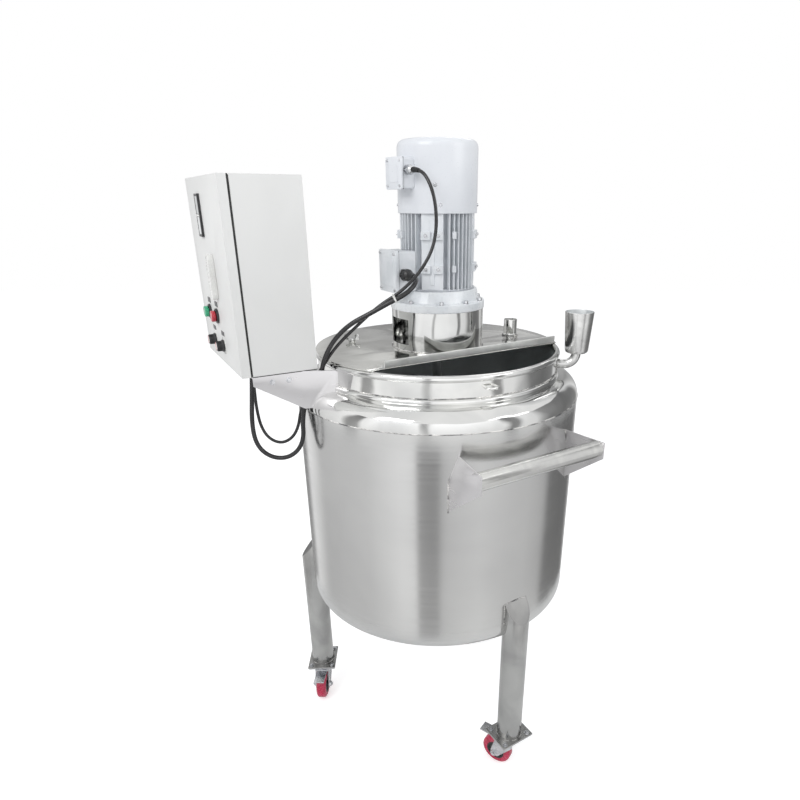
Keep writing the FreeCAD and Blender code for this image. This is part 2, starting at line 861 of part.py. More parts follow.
def caster_fork(index):
    """The swivel crown, two cheeks swept back to the axle, and the axle with its nuts."""
    top = race_low() - TURNING_GAP
    crown_low = top - 2 * FORK_THICK
    half_gap = FORK_GAP / 2
    outside = half_gap + FORK_THICK
    crown = cylinder(CROWN_R, crown_low, top)
    side = Part.Wire(Part.makePolygon([
        V(-CROWN_BACK, 0, crown_low + FORK_THICK),
        V(CROWN_R, 0, crown_low + FORK_THICK),
        V(TRAIL + 2 * AXLE_R, 0, WHEEL_R + AXLE_R),
        V(TRAIL + 2 * AXLE_R, 0, WHEEL_R - 2 * AXLE_R),
        V(TRAIL - 2 * AXLE_R, 0, WHEEL_R - 2 * AXLE_R),
        V(-CROWN_BACK, 0, crown_low - 2 * AXLE_R),
        V(-CROWN_BACK, 0, crown_low + FORK_THICK),
    ]))
    cheek = Part.Face(side).extrude(V(0, FORK_THICK, 0))
    left = cheek.copy()
    left.translate(V(0, half_gap, 0))
    right = cheek.copy()
    right.translate(V(0, -outside, 0))
    bridge = block((-CROWN_BACK, -outside, crown_low), (CROWN_R, outside, crown_low + FORK_THICK))
    nut_out = outside + AXLE_NUT_HEIGHT
    axle = across(AXLE_R, outside, TRAIL, WHEEL_R)
    nuts = across(AXLE_NUT_R, nut_out, TRAIL, WHEEL_R).cut(
        across(2 * AXLE_NUT_R, outside, TRAIL, WHEEL_R)
    )
    pin = across(PEDAL_PIN_R, outside, CROWN_R, PEDAL_Z)
    ears = []
    for low in (half_gap, -outside):
        ears.append(block(
            (0, low, crown_low - FORK_THICK),
            (CROWN_R + 2 * PEDAL_PIN_R, low + FORK_THICK, crown_low + FORK_THICK),
        ))
    shape = fused([crown, left, right, bridge, axle, nuts, pin] + ears)
    return at_leg(shape, index, CASTER_HEADINGS[index])


def caster_tread(index):
    half = WHEEL_WIDTH / 2
    tread = across(WHEEL_R, half, TRAIL, WHEEL_R)
    rims = [edge for edge in tread.Edges if len(edge.Vertexes) == 1]
    tread = tread.makeFillet(TREAD_ROUND, rims).cut(across(HUB_WHEEL_R, half, TRAIL, WHEEL_R))
    return at_leg(tread, index, CASTER_HEADINGS[index])


def caster_hub(index):
    disc = across(HUB_WHEEL_R, WHEEL_WIDTH / 2, TRAIL, WHEEL_R)
    boss = across(2 * AXLE_R, HUB_WHEEL_WIDTH / 2, TRAIL, WHEEL_R)
    bore = across(AXLE_R + AXLE_FIT, HUB_WHEEL_WIDTH, TRAIL, WHEEL_R)
    return at_leg(disc.fuse(boss).cut(bore), index, CASTER_HEADINGS[index])


def brake_pedal(index):
    half = PEDAL_WIDTH / 2
    start = CROWN_R
    arm = block(
        (start, -half, PEDAL_Z - PEDAL_THICK / 2),
        (start + PEDAL_LENGTH, half, PEDAL_Z + PEDAL_THICK / 2),
    )
    knuckle = across(2 * PEDAL_PIN_R, half, start, PEDAL_Z)
    bore = across(PEDAL_PIN_R + AXLE_FIT, PEDAL_WIDTH, start, PEDAL_Z)
    return at_leg(arm.fuse(knuckle).cut(bore), index, CASTER_HEADINGS[index])


# Push bar and its folded brackets
def handle_tube():
    outer = Part.makeCylinder(BAR_R, 2 * BAR_HALF, V(-BAR_HALF, -BAR_OUT, BAR_Z), V(1, 0, 0))
    inner = Part.makeCylinder(
        BAR_R - BAR_WALL, 2 * BAR_HALF, V(-BAR_HALF, -BAR_OUT, BAR_Z), V(1, 0, 0)
    )
    return turned(outer.cut(inner), FRONT)


def handle_bracket(side):
    """A plate folded along the line from the tank to the bar: a web and a leaning flange."""
    end = side * BAR_HALF
    out = side * (BAR_HALF + BRACKET_THICK)
    root = -math.sqrt(JACKET_R**2 - BAR_HALF**2) + 2 * BRACKET_THICK
    tip = -BAR_OUT - BAR_R
    web_face = Part.Face(Part.makePolygon([
        V(end, root, BRACKET_ROOT_LOW),
        V(end, tip, BAR_Z - BAR_R),
        V(end, tip, BAR_Z + BAR_R),
        V(end, root, BRACKET_ROOT_FOLD),
        V(end, root, BRACKET_ROOT_LOW),
    ]))
    web = web_face.extrude(V(out - end, 0, 0))
    lean = side * BRACKET_LEAN
    flange_face = Part.Face(Part.makePolygon([
        V(end, root, BRACKET_ROOT_FOLD),
        V(end, tip, BAR_Z + BAR_R),
        V(end - lean, root, BRACKET_ROOT_HIGH),
        V(end, root, BRACKET_ROOT_FOLD),
    ]))
    flange = flange_face.extrude(V(out - end, 0, 0))
    outside = Part.makeCylinder(BAR_R, 2 * BAR_HALF, V(-BAR_HALF, -BAR_OUT, BAR_Z), V(1, 0, 0))
    shape = web.fuse(flange).cut(cylinder(JACKET_R, 0, RIM_TOP)).cut(outside)
    return turned(shape.removeSplitter(), FRONT)


# Control cabinet, built with x into the cabinet, y across the door and z up
def at_cabinet(shape):
    moved = turned(shape, CABINET_YAW)
    moved.translate(V(CABINET_X, CABINET_Y, CABINET_Z))
    return moved


def hinge_half(side):
    """Both hinges' halves on one side: 1 on the cabinet, with pins, and -1 on the door."""
    hinge_y = CABINET_WIDTH + HINGE_OFF
    parts = []
    for middle in (HINGE_INSET, CABINET_HEIGHT - HINGE_INSET):
        low, high = middle - HINGE_LENGTH / 2, middle
        leaf_start, leaf_end = BODY_FRONT, BODY_FRONT + HINGE_LEAF_LONG
        if side < 0:
            low, high = middle + SEAT_GAP, middle + HINGE_LENGTH / 2
            leaf_start, leaf_end = BODY_FRONT - HINGE_DOOR_LONG, BODY_FRONT
        barrel = Part.makeCylinder(HINGE_R, high - low, V(BODY_FRONT, hinge_y, low), UP)
        leaf_y = hinge_y - HINGE_R
        leaf = block((leaf_start, leaf_y, low), (leaf_end, leaf_y + HINGE_LEAF, high))
        root_end = leaf_end if side > 0 else DOOR_DEPTH
        root = block((leaf_start, CABINET_WIDTH, low), (root_end, leaf_y, high))
        pin_r = HINGE_PIN_R if side > 0 else HINGE_PIN_R + STEM_FIT
        pin = Part.makeCylinder(pin_r, HINGE_LENGTH, V(BODY_FRONT, hinge_y, low), UP)
        half = fused([barrel, leaf, root])
        parts.append(half.fuse(pin) if side > 0 else half.cut(pin))
    return parts


def cabinet_body():
    outer = block((BODY_FRONT, 0, 0), (CABINET_DEPTH, CABINET_WIDTH, CABINET_HEIGHT))
    wall = CABINET_WALL
    inner = block(
        (BODY_FRONT + wall, wall, wall),
        (CABINET_DEPTH - wall, CABINET_WIDTH - wall, CABINET_HEIGHT - wall),
    )
    lip = GASKET_WIDTH + wall
    mouth = block(
        (BODY_FRONT - 1, lip, lip),
        (BODY_FRONT + 2 * wall, CABINET_WIDTH - lip, CABINET_HEIGHT - lip),
    )
    return at_cabinet(fused([outer.cut(inner).cut(mouth)] + hinge_half(1)))


def stem(radius, start, end, y, z):
    """A round stem that points into the cabinet."""
    return Part.makeCylinder(radius, end - start, V(start, y, z), V(1, 0, 0))


def door_holes():
    """The round holes that the button stems, knob shafts and lock stem pass through."""
    stems = [(BUTTON_STEM_R, y, BUTTON_Z) for y in BUTTON_Y]
    stems += [(KNOB_STEM_R, y, KNOB_Z) for y in KNOB_Y]
    stems.append((LOCK_STEM_R, LOCK_Y, LOCK_Z))
    return [stem(radius + STEM_FIT, -1, DOOR_DEPTH, y, z) for radius, y, z in stems]


def cabinet_door():
    wall = CABINET_WALL
    outer = block((0, 0, 0), (DOOR_DEPTH, CABINET_WIDTH, CABINET_HEIGHT))
    inner = block(
        (wall, wall, wall),
        (DOOR_DEPTH + 1, CABINET_WIDTH - wall, CABINET_HEIGHT - wall),
    )
    door = outer.cut(inner)
    for hole in door_holes():
        door = door.cut(hole)
    return at_cabinet(fused([door] + hinge_half(-1)))


def door_gasket():
    lip = GASKET_WIDTH
    outer = block(
        (DOOR_DEPTH + SEAT_GAP, 0, 0),
        (BODY_FRONT, CABINET_WIDTH, CABINET_HEIGHT),
    )
    inner = block(
        (DOOR_DEPTH - 1, lip, lip),
        (BODY_FRONT + 1, CABINET_WIDTH - lip, CABINET_HEIGHT - lip),
    )
    return at_cabinet(outer.cut(inner))


def meter():
    half = METER_WIDTH / 2
    tall = METER_HEIGHT / 2
    low_edge = METER_Z - tall
    high_edge = METER_Z + tall
    frame = block((-METER_OUT, METER_Y - half, low_edge), (0, METER_Y + half, high_edge))
    margin = METER_WIDTH / 8
    bar = margin / 2
    for low, high in ((low_edge + margin, METER_Z - bar), (METER_Z + bar, high_edge - margin)):
        pane = block(
            (-METER_OUT - 1, METER_Y - half + margin, low),
            (-METER_OUT + 1, METER_Y + half - margin, high),
        )
        frame = frame.cut(pane)
    return at_cabinet(frame)


def lock_handle():
    half = LOCK_WIDTH / 2
    straight = LOCK_HEIGHT / 2 - half
    low = LOCK_Z - straight
    high = LOCK_Z + straight
    start = -LOCK_OUT - SEAT_GAP
    latch_half = LATCH_WIDTH / 2
    latch_end = STEM_INSIDE + LATCH_THICK
    pieces = [
        block((start, LOCK_Y - half, low), (-SEAT_GAP, LOCK_Y + half, high)),
        stem(half, start, -SEAT_GAP, LOCK_Y, low),
        stem(half, start, -SEAT_GAP, LOCK_Y, high),
        stem(LOCK_STEM_R, start, latch_end, LOCK_Y, LOCK_Z),
        block(
            (STEM_INSIDE, LOCK_Y - LATCH_LENGTH, LOCK_Z - latch_half),
            (latch_end, LOCK_Y + latch_half, LOCK_Z + latch_half),
        ),
    ]
    return at_cabinet(fused(pieces))


def push_button(y):
    head_back = -BUTTON_TRAVEL - BUTTON_SEAT
    head = stem(BUTTON_R, head_back - BUTTON_HEAD, head_back, y, BUTTON_Z)
    return at_cabinet(head.fuse(stem(BUTTON_STEM_R, head_back, STEM_INSIDE, y, BUTTON_Z)))


def knob(y):
    start = -KNOB_OUT - SEAT_GAP
    grip = Part.makeCone(
        KNOB_R * KNOB_TOP_SHARE, KNOB_R, KNOB_OUT, V(start, y, KNOB_Z), V(1, 0, 0)
    )
    return at_cabinet(grip.fuse(stem(KNOB_STEM_R, start, STEM_INSIDE, y, KNOB_Z)))


# Sheet arm between the neck and the cabinet
def cabinet_bracket():
    yaw = math.radians(CABINET_YAW)
    along = V(math.cos(yaw), math.sin(yaw), 0)
    inward = V(-math.sin(yaw), math.cos(yaw), 0)
    start = V(CABINET_X, CABINET_Y, 0) + along * BODY_FRONT
    fold = V(CABINET_X, CABINET_Y, 0) + along * ARM_FOLD
    neck = place(ARM_NECK_BEARING, NECK_R - ARM_THICK)
    top = CABINET_Z
    arm = Part.Face(Part.makePolygon([
        start + V(0, 0, top - ARM_LOW_NEAR),
        fold + V(0, 0, top - ARM_LOW_FOLD),
        fold + V(0, 0, top),
        start + V(0, 0, top),
        start + V(0, 0, top - ARM_LOW_NEAR),
    ])).extrude(inward * ARM_THICK)
    reach = Part.Face(Part.makePolygon([
        fold + V(0, 0, top - ARM_LOW_FOLD),
        neck + V(0, 0, top - ARM_LOW_FOLD),
        neck + V(0, 0, top - ARM_THICK),
        fold + V(0, 0, top),
        fold + V(0, 0, top - ARM_LOW_FOLD),
    ])).extrude(inward * ARM_THICK)
    flange_a = start + V(0, 0, top - ARM_THICK)
    flange_b = V(CABINET_X, CABINET_Y, top - ARM_THICK) + along * ARM_FOLD
    shelf = Part.Face(Part.makePolygon([
        flange_a,
        flange_b,
        flange_b + inward * ARM_FLANGE,
        flange_a + inward * ARM_FLANGE,
        flange_a,
    ])).extrude(V(0, 0, ARM_THICK))
    shape = fused([arm, reach, shelf])
    shape = shape.cut(jacket_outside()).cut(cylinder(NECK_R, 0, RIM_TOP))
    rim = Part.makeTorus(NECK_R - NECK_WALL / 2, RIM_ROD_R + 1, V(0, 0, RIM_TOP - RIM_ROD_R), UP)
    return shape.cut(neck_bead()).cut(rim)


def cable_inlet(route):
    """The gland under the cabinet where a cord ends."""
    end = V(*route[-1])
    height = CABINET_Z - end.z
    return Part.makeCylinder(INLET_R, height, end, UP)


def axis_shift():
    """Moves the tank's axis so that the origin lies under the middle of the whole part."""
    yaw = math.radians(CABINET_YAW)
    front = math.radians(FRONT)
    left = CABINET_X - CABINET_WIDTH * math.sin(yaw)
    bar_x = BAR_OUT * math.sin(front)
    bar_y = -BAR_OUT * math.cos(front)
    right = bar_x + (BAR_HALF + BRACKET_THICK) * math.cos(front) + BAR_R * math.sin(front)
    near = bar_y - (BAR_HALF + BRACKET_THICK) * math.sin(front) - BAR_R * math.cos(front)
    rear_bearing = math.radians(leg_bearing(LEG_COUNT - 1))
    foot_reach = LEG_CIRCLE_R + FOOT_WIDTH / 2
    far = -foot_reach * math.cos(rear_bearing) + FOOT_LENGTH / 2 * abs(math.sin(rear_bearing))
    return V(-(left + right) / 2, -(near + far) / 2, 0)


def pieces():
    """Every node's name and solid, about the tank's axis."""
    yield "inner_tank", inner_tank()
    yield "rim_ring", rim_ring()
    yield "jacket_shell", jacket_shell()
    yield "jacket_shoulder", jacket_shoulder()
    yield "jacket_bottom", jacket_bottom()
    yield "outlet_pipe", outlet_pipe()
    yield "fixed_lid", fixed_lid()
    yield "lid_edge_bar", lid_edge_bar()
    yield "lid_clamp", lid_clamp()
    yield "lid_nozzle", lid_nozzle()
    yield "latch_staple", latch_staple()
    yield "feed_cup", feed_cup()
    yield "feed_elbow", feed_elbow()
    yield "drive_pedestal", drive_pedestal()
    yield "motor_flange", motor_flange()
    yield "motor_frame", motor_frame()
    yield "fan_cowl", fan_cowl()
    yield "terminal_box", terminal_box()
    yield "fan_terminal_box", fan_terminal_box()
    yield "motor_gland", motor_gland()
    yield "fan_gland", fan_gland()
    yield "agitator_shaft", agitator_shaft()
    yield "shaft_coupling", shaft_coupling()
    yield "impeller", impeller()
    for index in range(LEG_COUNT):
        number = index + 1
        yield f"leg_{number}", leg(index)
        yield f"caster_plate_{number}", caster_plate(index)
        yield f"caster_fork_{number}", caster_fork(index)
        yield f"caster_tread_{number}", caster_tread(index)
        yield f"caster_hub_{number}", caster_hub(index)
        yield f"brake_pedal_{number}", brake_pedal(index)
    yield "handle_tube", handle_tube()
    yield "handle_bracket_left", handle_bracket(-1)
    yield "handle_bracket_right", handle_bracket(1)
    yield "cabinet_body", cabinet_body()
    yield "cabinet_door", cabinet_door()
    yield "door_gasket", door_gasket()
    yield "meter", meter()
    yield "lock_handle", lock_handle()
    yield "start_button", push_button(BUTTON_Y[0])
    yield "stop_button", push_button(BUTTON_Y[1])
    yield "speed_knob", knob(KNOB_Y[0])
    yield "mode_knob", knob(KNOB_Y[1])
    yield "cabinet_bracket", cabinet_bracket()
    yield "motor_cable_inlet", cable_inlet(MOTOR_ROUTE)
    yield "fan_cable_inlet", cable_inlet(FAN_ROUTE)
    yield "motor_cable", cord("motor_cable", MOTOR_ROUTE, MOTOR_CORD_R)
    yield "fan_cable", cord("fan_cable", FAN_ROUTE, FAN_CORD_R)


os.makedirs("parts", exist_ok=True)
shift = axis_shift()
print("tank axis at", round(shift.x, 3), round(shift.y, 3))
for name, solid in pieces():
    solid.translate(shift)
    solid.exportStep(f"parts/{name}.step")
    print(name, len(solid.Solids), solid.isValid(), round(solid.Volume))
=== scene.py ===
import json
import math

import bmesh
import bpy
from mathutils import Matrix, Vector


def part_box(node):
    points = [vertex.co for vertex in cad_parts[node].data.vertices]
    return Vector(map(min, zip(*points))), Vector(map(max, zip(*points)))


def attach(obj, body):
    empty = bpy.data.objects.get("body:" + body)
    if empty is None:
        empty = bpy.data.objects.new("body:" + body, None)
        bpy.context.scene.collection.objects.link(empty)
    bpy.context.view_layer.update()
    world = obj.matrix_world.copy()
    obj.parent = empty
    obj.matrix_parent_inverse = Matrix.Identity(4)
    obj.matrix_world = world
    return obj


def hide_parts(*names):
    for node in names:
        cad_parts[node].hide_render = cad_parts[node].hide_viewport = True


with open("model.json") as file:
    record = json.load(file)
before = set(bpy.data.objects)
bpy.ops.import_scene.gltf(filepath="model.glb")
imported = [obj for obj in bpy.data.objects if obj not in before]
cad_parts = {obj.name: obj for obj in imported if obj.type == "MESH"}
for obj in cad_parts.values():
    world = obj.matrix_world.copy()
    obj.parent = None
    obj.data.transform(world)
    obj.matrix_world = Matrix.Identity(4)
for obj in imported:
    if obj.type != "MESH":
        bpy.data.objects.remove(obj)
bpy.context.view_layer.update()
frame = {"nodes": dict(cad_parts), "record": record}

# Mobile jacketed mixing tank, dressed for its looks. Shapes are written in millimetres about the
# tank's axis, as in the part's source, and go to the row frame in metres through to_row().
MM = 0.001
TAU = 2 * math.pi
NODES = frame["nodes"]
RECORD = frame["record"]
BODY_OF = {node: body for body, held in RECORD["behaviour"]["bodies"].items() for node in held}
SLOT_OF = {row["node"]: row["material_slot"] for row in RECORD["subparts"]}
shell_low, shell_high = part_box("jacket_shell")
AXIS = Vector(((shell_low.x + shell_high.x) / 2, (shell_low.y + shell_high.y) / 2, 0))
TO_ROW = Matrix.Translation(AXIS) @ Matrix.Scale(MM, 4)
UNMOVED = Matrix()

# Sizes that the dressing shares with the part's source
FRONT = 32.5
NECK_R = 290.0
NECK_WALL = 3.0
RIM_TOP = 1075.0
RIM_ROD_R = 7.5
LID_TOP = 1078.0
JACKET_R = 345.0
JACKET_WALL = 3.0
JACKET_TOP = 969.0
JACKET_BOTTOM = 475.0
SHOULDER_ROUND = 44.0
BEAD_R = 7.0
PEDESTAL_R = 109.0
PEDESTAL_WALL = 5.0
FLANGE_LOW = 1168.0
FLANGE_R = 111.0
FLANGE_TOP = 1186.0
FRAME_LOW = 1212.0
FRAME_HIGH = 1374.0
CORE_R = 70.0
FIN_R = 86.0
COWL_R = 89.0
COWL_TOP = 1520.0
COWL_WALL = 2.5
LEG_CIRCLE_R = 350.0
LEG_R = 31.5
LEG_TOP = 530.0
LEG_SLOPE = 52.0
FOOT_TOP = 116.0
BAR_OUT = 395.0
BAR_HALF = 163.0
BAR_Z = 900.0
BAR_R = 19.0
BAR_WALL = 2.0
CABINET_CORNER = (-398.0, -275.0, 1065.0)
CABINET_YAW = 30.0
CABINET_HEIGHT = 380.0
CABINET_DEPTH = 160.0
BODY_FRONT = 21.0
CUP_BEARING = 81.0
CUP_OUT = 334.0
CASTER_HEADINGS = (146.0, -92.0, 60.0)
LEG_BEARINGS = (32.5, -87.5, -207.5)
WHEEL_TRAIL = 30.0
WHEEL_HEIGHT = 40.0
MOTOR_CORD_R = 5.0
FAN_CORD_R = 3.5


# Places
def place(bearing, radius, height=0.0):
    """The point at a bearing round the tank's axis, from -Y towards +X."""
    angle = math.radians(bearing)
    return Vector((radius * math.sin(angle), -radius * math.cos(angle), height))


def standing(origin, direction):
    """The matrix that puts a shape's own Z along a direction at an origin."""
    turn = Vector(direction).to_track_quat("Z", "Y").to_matrix().to_4x4()
    return Matrix.Translation(Vector(origin)) @ turn


def turned(bearing):
    return Matrix.Rotation(math.radians(bearing), 4, "Z")


# Nodes of every tree
def fed(tree, socket, value):
    """Links another node's output to an input, or sets the input's plain value."""
    if isinstance(value, bpy.types.NodeSocket):
        tree.links.new(value, socket)
    else:
        socket.default_value = value


def node(tree, kind, settings=None, **inputs):
    """Adds a node. An underscore in an input's name stands for a space."""
    made = tree.nodes.new(kind)
    for name, value in (settings or {}).items():
        setattr(made, name, value)
    for label, value in inputs.items():
        fed(tree, made.inputs[label.replace("_", " ")], value)
    return made


def maths(tree, operation, first, second):
    """The result of a Math node over output sockets or plain numbers."""
    made = node(tree, "ShaderNodeMath", {"operation": operation})
    fed(tree, made.inputs[0], first)
    fed(tree, made.inputs[1], second)
    return made.outputs[0]


# Finishes
def new_material(name, **values):
    """A material, its tree and its shader, with plain values on the shader's own sockets."""
    material = bpy.data.materials.new(name)
    material.use_nodes = True
    tree = material.node_tree
    shader = tree.nodes["Principled BSDF"]
    for label, value in values.items():
        shader.inputs[label.replace("_", " ")].default_value = value
    return material, tree, shader


def noise(tree, vector, scale, detail, distortion=0.0):
    made = node(
        tree, "ShaderNodeTexNoise", Vector=vector, Scale=scale, Detail=detail, Distortion=distortion
    )
    return made.outputs["Fac"]


def object_vector(tree, stretch=(1, 1, 1)):
    """Object coordinates from the tank's axis, stretched along each axis."""
    source = node(tree, "ShaderNodeTexCoord").outputs["Object"]
    shift = [-a * s for a, s in zip(AXIS, stretch)]
    return node(tree, "ShaderNodeMapping", Vector=source, Location=shift, Scale=stretch).outputs["Vector"]


def ranged(tree, value, low, high, start=0.3, end=0.7):
    made = node(
        tree, "ShaderNodeMapRange", Value=value, From_Min=start, From_Max=end, To_Min=low, To_Max=high
    )
    return made.outputs["Result"]


def coloured(tree, value, dark, pale):
    """A blend of two colours over the middle of a noise's range."""
    ramp = node(tree, "ShaderNodeValToRGB", Fac=value)
    for element, position, colour in zip(ramp.color_ramp.elements, (0.35, 0.65), (dark, pale)):
        element.position = position
        element.color = (*colour, 1)
    return ramp.outputs["Color"]


def raised(tree, height, relief, **before):
    """A bump of a strength and a depth in metres, over another one's normal if there is one."""
    strength, depth = relief
    bump = node(tree, "ShaderNodeBump", Height=height, Strength=strength, Distance=depth, **before)
    return bump.outputs["Normal"]


def finish(name, dark, pale, grain, rough, relief, broad, stretch=(1, 1, 1), wave=None, **fixed):
    """A surface whose colour, roughness and relief vary over the object's own coordinates."""
    material, tree, shader = new_material(name, **fixed)
    fine = noise(tree, object_vector(tree, stretch), grain, 5.0)
    patches = noise(tree, object_vector(tree), broad, 3.0, 0.6)
    tree.links.new(coloured(tree, patches, dark, pale), shader.inputs["Base Color"])
    tree.links.new(ranged(tree, fine, *rough), shader.inputs["Roughness"])
    normal = raised(tree, fine, relief)
    if wave:
        scale, strength, upright = wave
        swell = noise(tree, object_vector(tree, (1, 1, upright)), scale, 1.0)
        normal = raised(tree, swell, (strength, 0.01), Normal=normal)
    tree.links.new(normal, shader.inputs["Normal"])
    material.diffuse_color = (*pale, 1)
    return material


# Each finish: dark and pale colour, scale of its grain, roughness, relief, scale of its patches, and
# what else it has
METAL = {"Metallic": 1.0}
FINISHES = {
    "polished_steel": (
        (0.64, 0.645, 0.64), (0.80, 0.80, 0.785), 60.0, (0.05, 0.12), (0.04, 0.0004), 7.0,
        {"wave": (9.0, 0.55, 1.6), **METAL},
    ),
    "lid_steel": (
        (0.60, 0.60, 0.575), (0.78, 0.78, 0.75), 70.0, (0.08, 0.20), (0.05, 0.0004), 9.0,
        {"wave": (6.0, 0.60, 1.0), **METAL},
    ),
    "strip_steel": (
        (0.55, 0.56, 0.545), (0.74, 0.74, 0.72), 1.0, (0.26, 0.42), (0.05, 0.0004), 22.0,
        {"stretch": (8, 8, 200), "Metallic": 0.45},
    ),
    "satin_steel": (
        (0.58, 0.58, 0.575), (0.74, 0.74, 0.73), 1.0, (0.16, 0.28), (0.03, 0.0004), 24.0,
        {"stretch": (90, 90, 12), **METAL},
    ),
    # Painted shade: a rougher, less metallic, slightly darker steel for faces inside the vessel and the
    # cup, and for the coupling inside the pedestal, where shade falls
    "inside_steel_painted_shade": (
        (0.58, 0.60, 0.605), (0.72, 0.74, 0.745), 30.0, (0.28, 0.42), (0.1, 0.0005), 5.0, {"Metallic": 0.7},
    ),
    "brushed_steel": (
        (0.60, 0.60, 0.595), (0.70, 0.70, 0.69), 1.0, (0.15, 0.22), (0.02, 0.0003), 2.2,
        {"stretch": (2, 2, 160), "wave": (3.0, 0.04, 0.3), **METAL},
    ),
    "tube_steel": (
        (0.38, 0.38, 0.375), (0.49, 0.49, 0.48), 1.0, (0.14, 0.24), (0.03, 0.0004), 12.0,
        {"stretch": (60, 60, 10), **METAL},
    ),
    "bar_steel": (
        (0.58, 0.58, 0.57), (0.70, 0.70, 0.68), 1.0, (0.16, 0.26), (0.03, 0.0004), 14.0,
        {"stretch": (20, 60, 160), **METAL},
    ),
    "sheet_steel": (
        (0.66, 0.65, 0.66), (0.76, 0.75, 0.76), 1.0, (0.26, 0.36), (0.03, 0.0004), 4.0,
        {"stretch": (12, 12, 120), "Metallic": 0.85},
    ),
    "weld_steel": (
        (0.16, 0.16, 0.165), (0.80, 0.79, 0.77), 220.0, (0.12, 0.35), (0.35, 0.0008), 38.0, METAL,
    ),
    "zinc_steel": (
        (0.50, 0.51, 0.53), (0.74, 0.75, 0.77), 90.0, (0.14, 0.34), (0.10, 0.0004), 30.0, METAL,
    ),
    "flange_paint": (
        (0.72, 0.75, 0.78), (0.84, 0.86, 0.88), 160.0, (0.22, 0.40), (0.20, 0.0006), 14.0,
        {"Coat_Weight": 0.3},
    ),
    "motor_paint": (
        (0.66, 0.69, 0.72), (0.77, 0.79, 0.82), 240.0, (0.30, 0.52), (0.30, 0.0006), 18.0,
        {"Coat_Weight": 0.15},
    ),
    "cowl_paint": (
        (0.755, 0.775, 0.815), (0.80, 0.82, 0.855), 260.0, (0.26, 0.38), (0.10, 0.0004), 8.0,
        {"Coat_Weight": 0.2},
    ),
    "cabinet_paint": (
        (0.735, 0.735, 0.725), (0.775, 0.775, 0.765), 900.0, (0.42, 0.58), (0.22, 0.0003), 4.0, {},
    ),
    "black_plastic": (
        (0.014, 0.014, 0.015), (0.035, 0.035, 0.037), 500.0, (0.30, 0.48), (0.15, 0.0003), 40.0, {},
    ),
    "white_plastic": (
        (0.74, 0.74, 0.72), (0.82, 0.82, 0.80), 300.0, (0.20, 0.34), (0.06, 0.0003), 30.0, {},
    ),
    "green_plastic": (
        (0.02, 0.34, 0.17), (0.05, 0.46, 0.24), 300.0, (0.16, 0.30), (0.05, 0.0003), 60.0,
        {"Coat_Weight": 0.4},
    ),
    "red_plastic": (
        (0.46, 0.02, 0.04), (0.62, 0.05, 0.07), 300.0, (0.16, 0.30), (0.05, 0.0003), 60.0,
        {"Coat_Weight": 0.4},
    ),
    "black_rubber": (
        (0.012, 0.012, 0.012), (0.03, 0.03, 0.03), 700.0, (0.60, 0.85), (0.4, 0.0005), 50.0, {},
    ),
    "cable_rubber": (
        (0.010, 0.010, 0.011), (0.026, 0.026, 0.028), 420.0, (0.18, 0.32), (0.08, 0.0003), 30.0, {},
    ),
    "red_tread": (
        (0.42, 0.010, 0.045), (0.60, 0.03, 0.10), 180.0, (0.18, 0.36), (0.12, 0.0005), 50.0,
        {"Coat_Weight": 0.3},
    ),
    # Painted shade: the motor barrel's core between the fins is coloured darker than the motor's own paint,
    # to stand in for the shade between the fins
    "painted_shade_between_fins": (
        (0.40, 0.42, 0.45), (0.50, 0.52, 0.55), 240.0, (0.40, 0.60), (0.30, 0.0006), 18.0, {},
    ),
    "meter_glass": (
        (0.26, 0.28, 0.28), (0.36, 0.38, 0.38), 50.0, (0.05, 0.12), (0.02, 0.0003), 40.0,
        {"Coat_Weight": 0.6},
    ),
    "pale_glass": (
        (0.50, 0.52, 0.52), (0.64, 0.66, 0.66), 50.0, (0.05, 0.12), (0.02, 0.0003), 40.0,
        {"Coat_Weight": 0.6},
    ),
    "label_plate": (
        (0.02, 0.02, 0.022), (0.05, 0.05, 0.055), 300.0, (0.25, 0.40), (0.05, 0.0003), 80.0, {},
    ),
}
FINISH = {name: finish(name, *row[:-1], **row[-1]) for name, row in FINISHES.items()}


# Mesh makers
def eased(corners, rounding):
    """A closed outline with its corners rounded, by one radius or by one for each corner."""
    outline = []
    for index, corner in enumerate(corners):
        here = Vector(corner)
        before = Vector(corners[index - 1]) - here
        after = Vector(corners[(index + 1) % len(corners)]) - here
        radius = rounding[index] if hasattr(rounding, "__len__") else rounding
        if radius <= 0:
            outline.append(here)
            continue
        reach = radius / math.tan(before.angle(after) / 2)
        reach = min(reach, 0.49 * before.length, 0.49 * after.length)
        start = here + before.normalized() * reach
        end = here + after.normalized() * reach
        count = 4 if radius < 12 else 12
        for step in range(count + 1):
            share = step / count
            outline.append(start * (1 - share) ** 2 + here * 2 * share * (1 - share) + end * share**2)
    return outline


def skinned(shape, rings, following_rings):
    """Faces from each ring of points to the one that follows it."""
    for ring, following in zip(rings, following_rings):
        for step in range(len(ring)):
            ahead = (step + 1) % len(ring)
            shape.faces.new((ring[step], following[step], following[ahead], ring[ahead]))


def lathed(outline, segments, matrix=UNMOVED):
    """A closed body of revolution: the outline (radius, height) turned about Z."""
    shape = bmesh.new()
    rings = []
    for index in range(segments):
        angle = TAU * index / segments
        across, back = math.sin(angle), -math.cos(angle)
        rings.append([shape.verts.new((r * across, r * back, z)) for r, z in outline])
    skinned(shape, rings, rings[1:] + rings[:1])
    bmesh.ops.remove_doubles(shape, verts=shape.verts, dist=0.001)
    bmesh.ops.dissolve_degenerate(shape, edges=shape.edges, dist=0.001)
    shape.transform(matrix)
    return shape


def slab(low, high, matrix=UNMOVED):
    """A block between two corners, whose edges are rounded later."""
    shape = bmesh.new()
    bmesh.ops.create_cube(shape, size=1.0)
    size = Vector(high) - Vector(low)
    middle = (Vector(high) + Vector(low)) / 2
    shape.transform(Matrix.Translation(middle) @ Matrix.Diagonal((*size, 1)))
    shape.transform(matrix)
    return shape


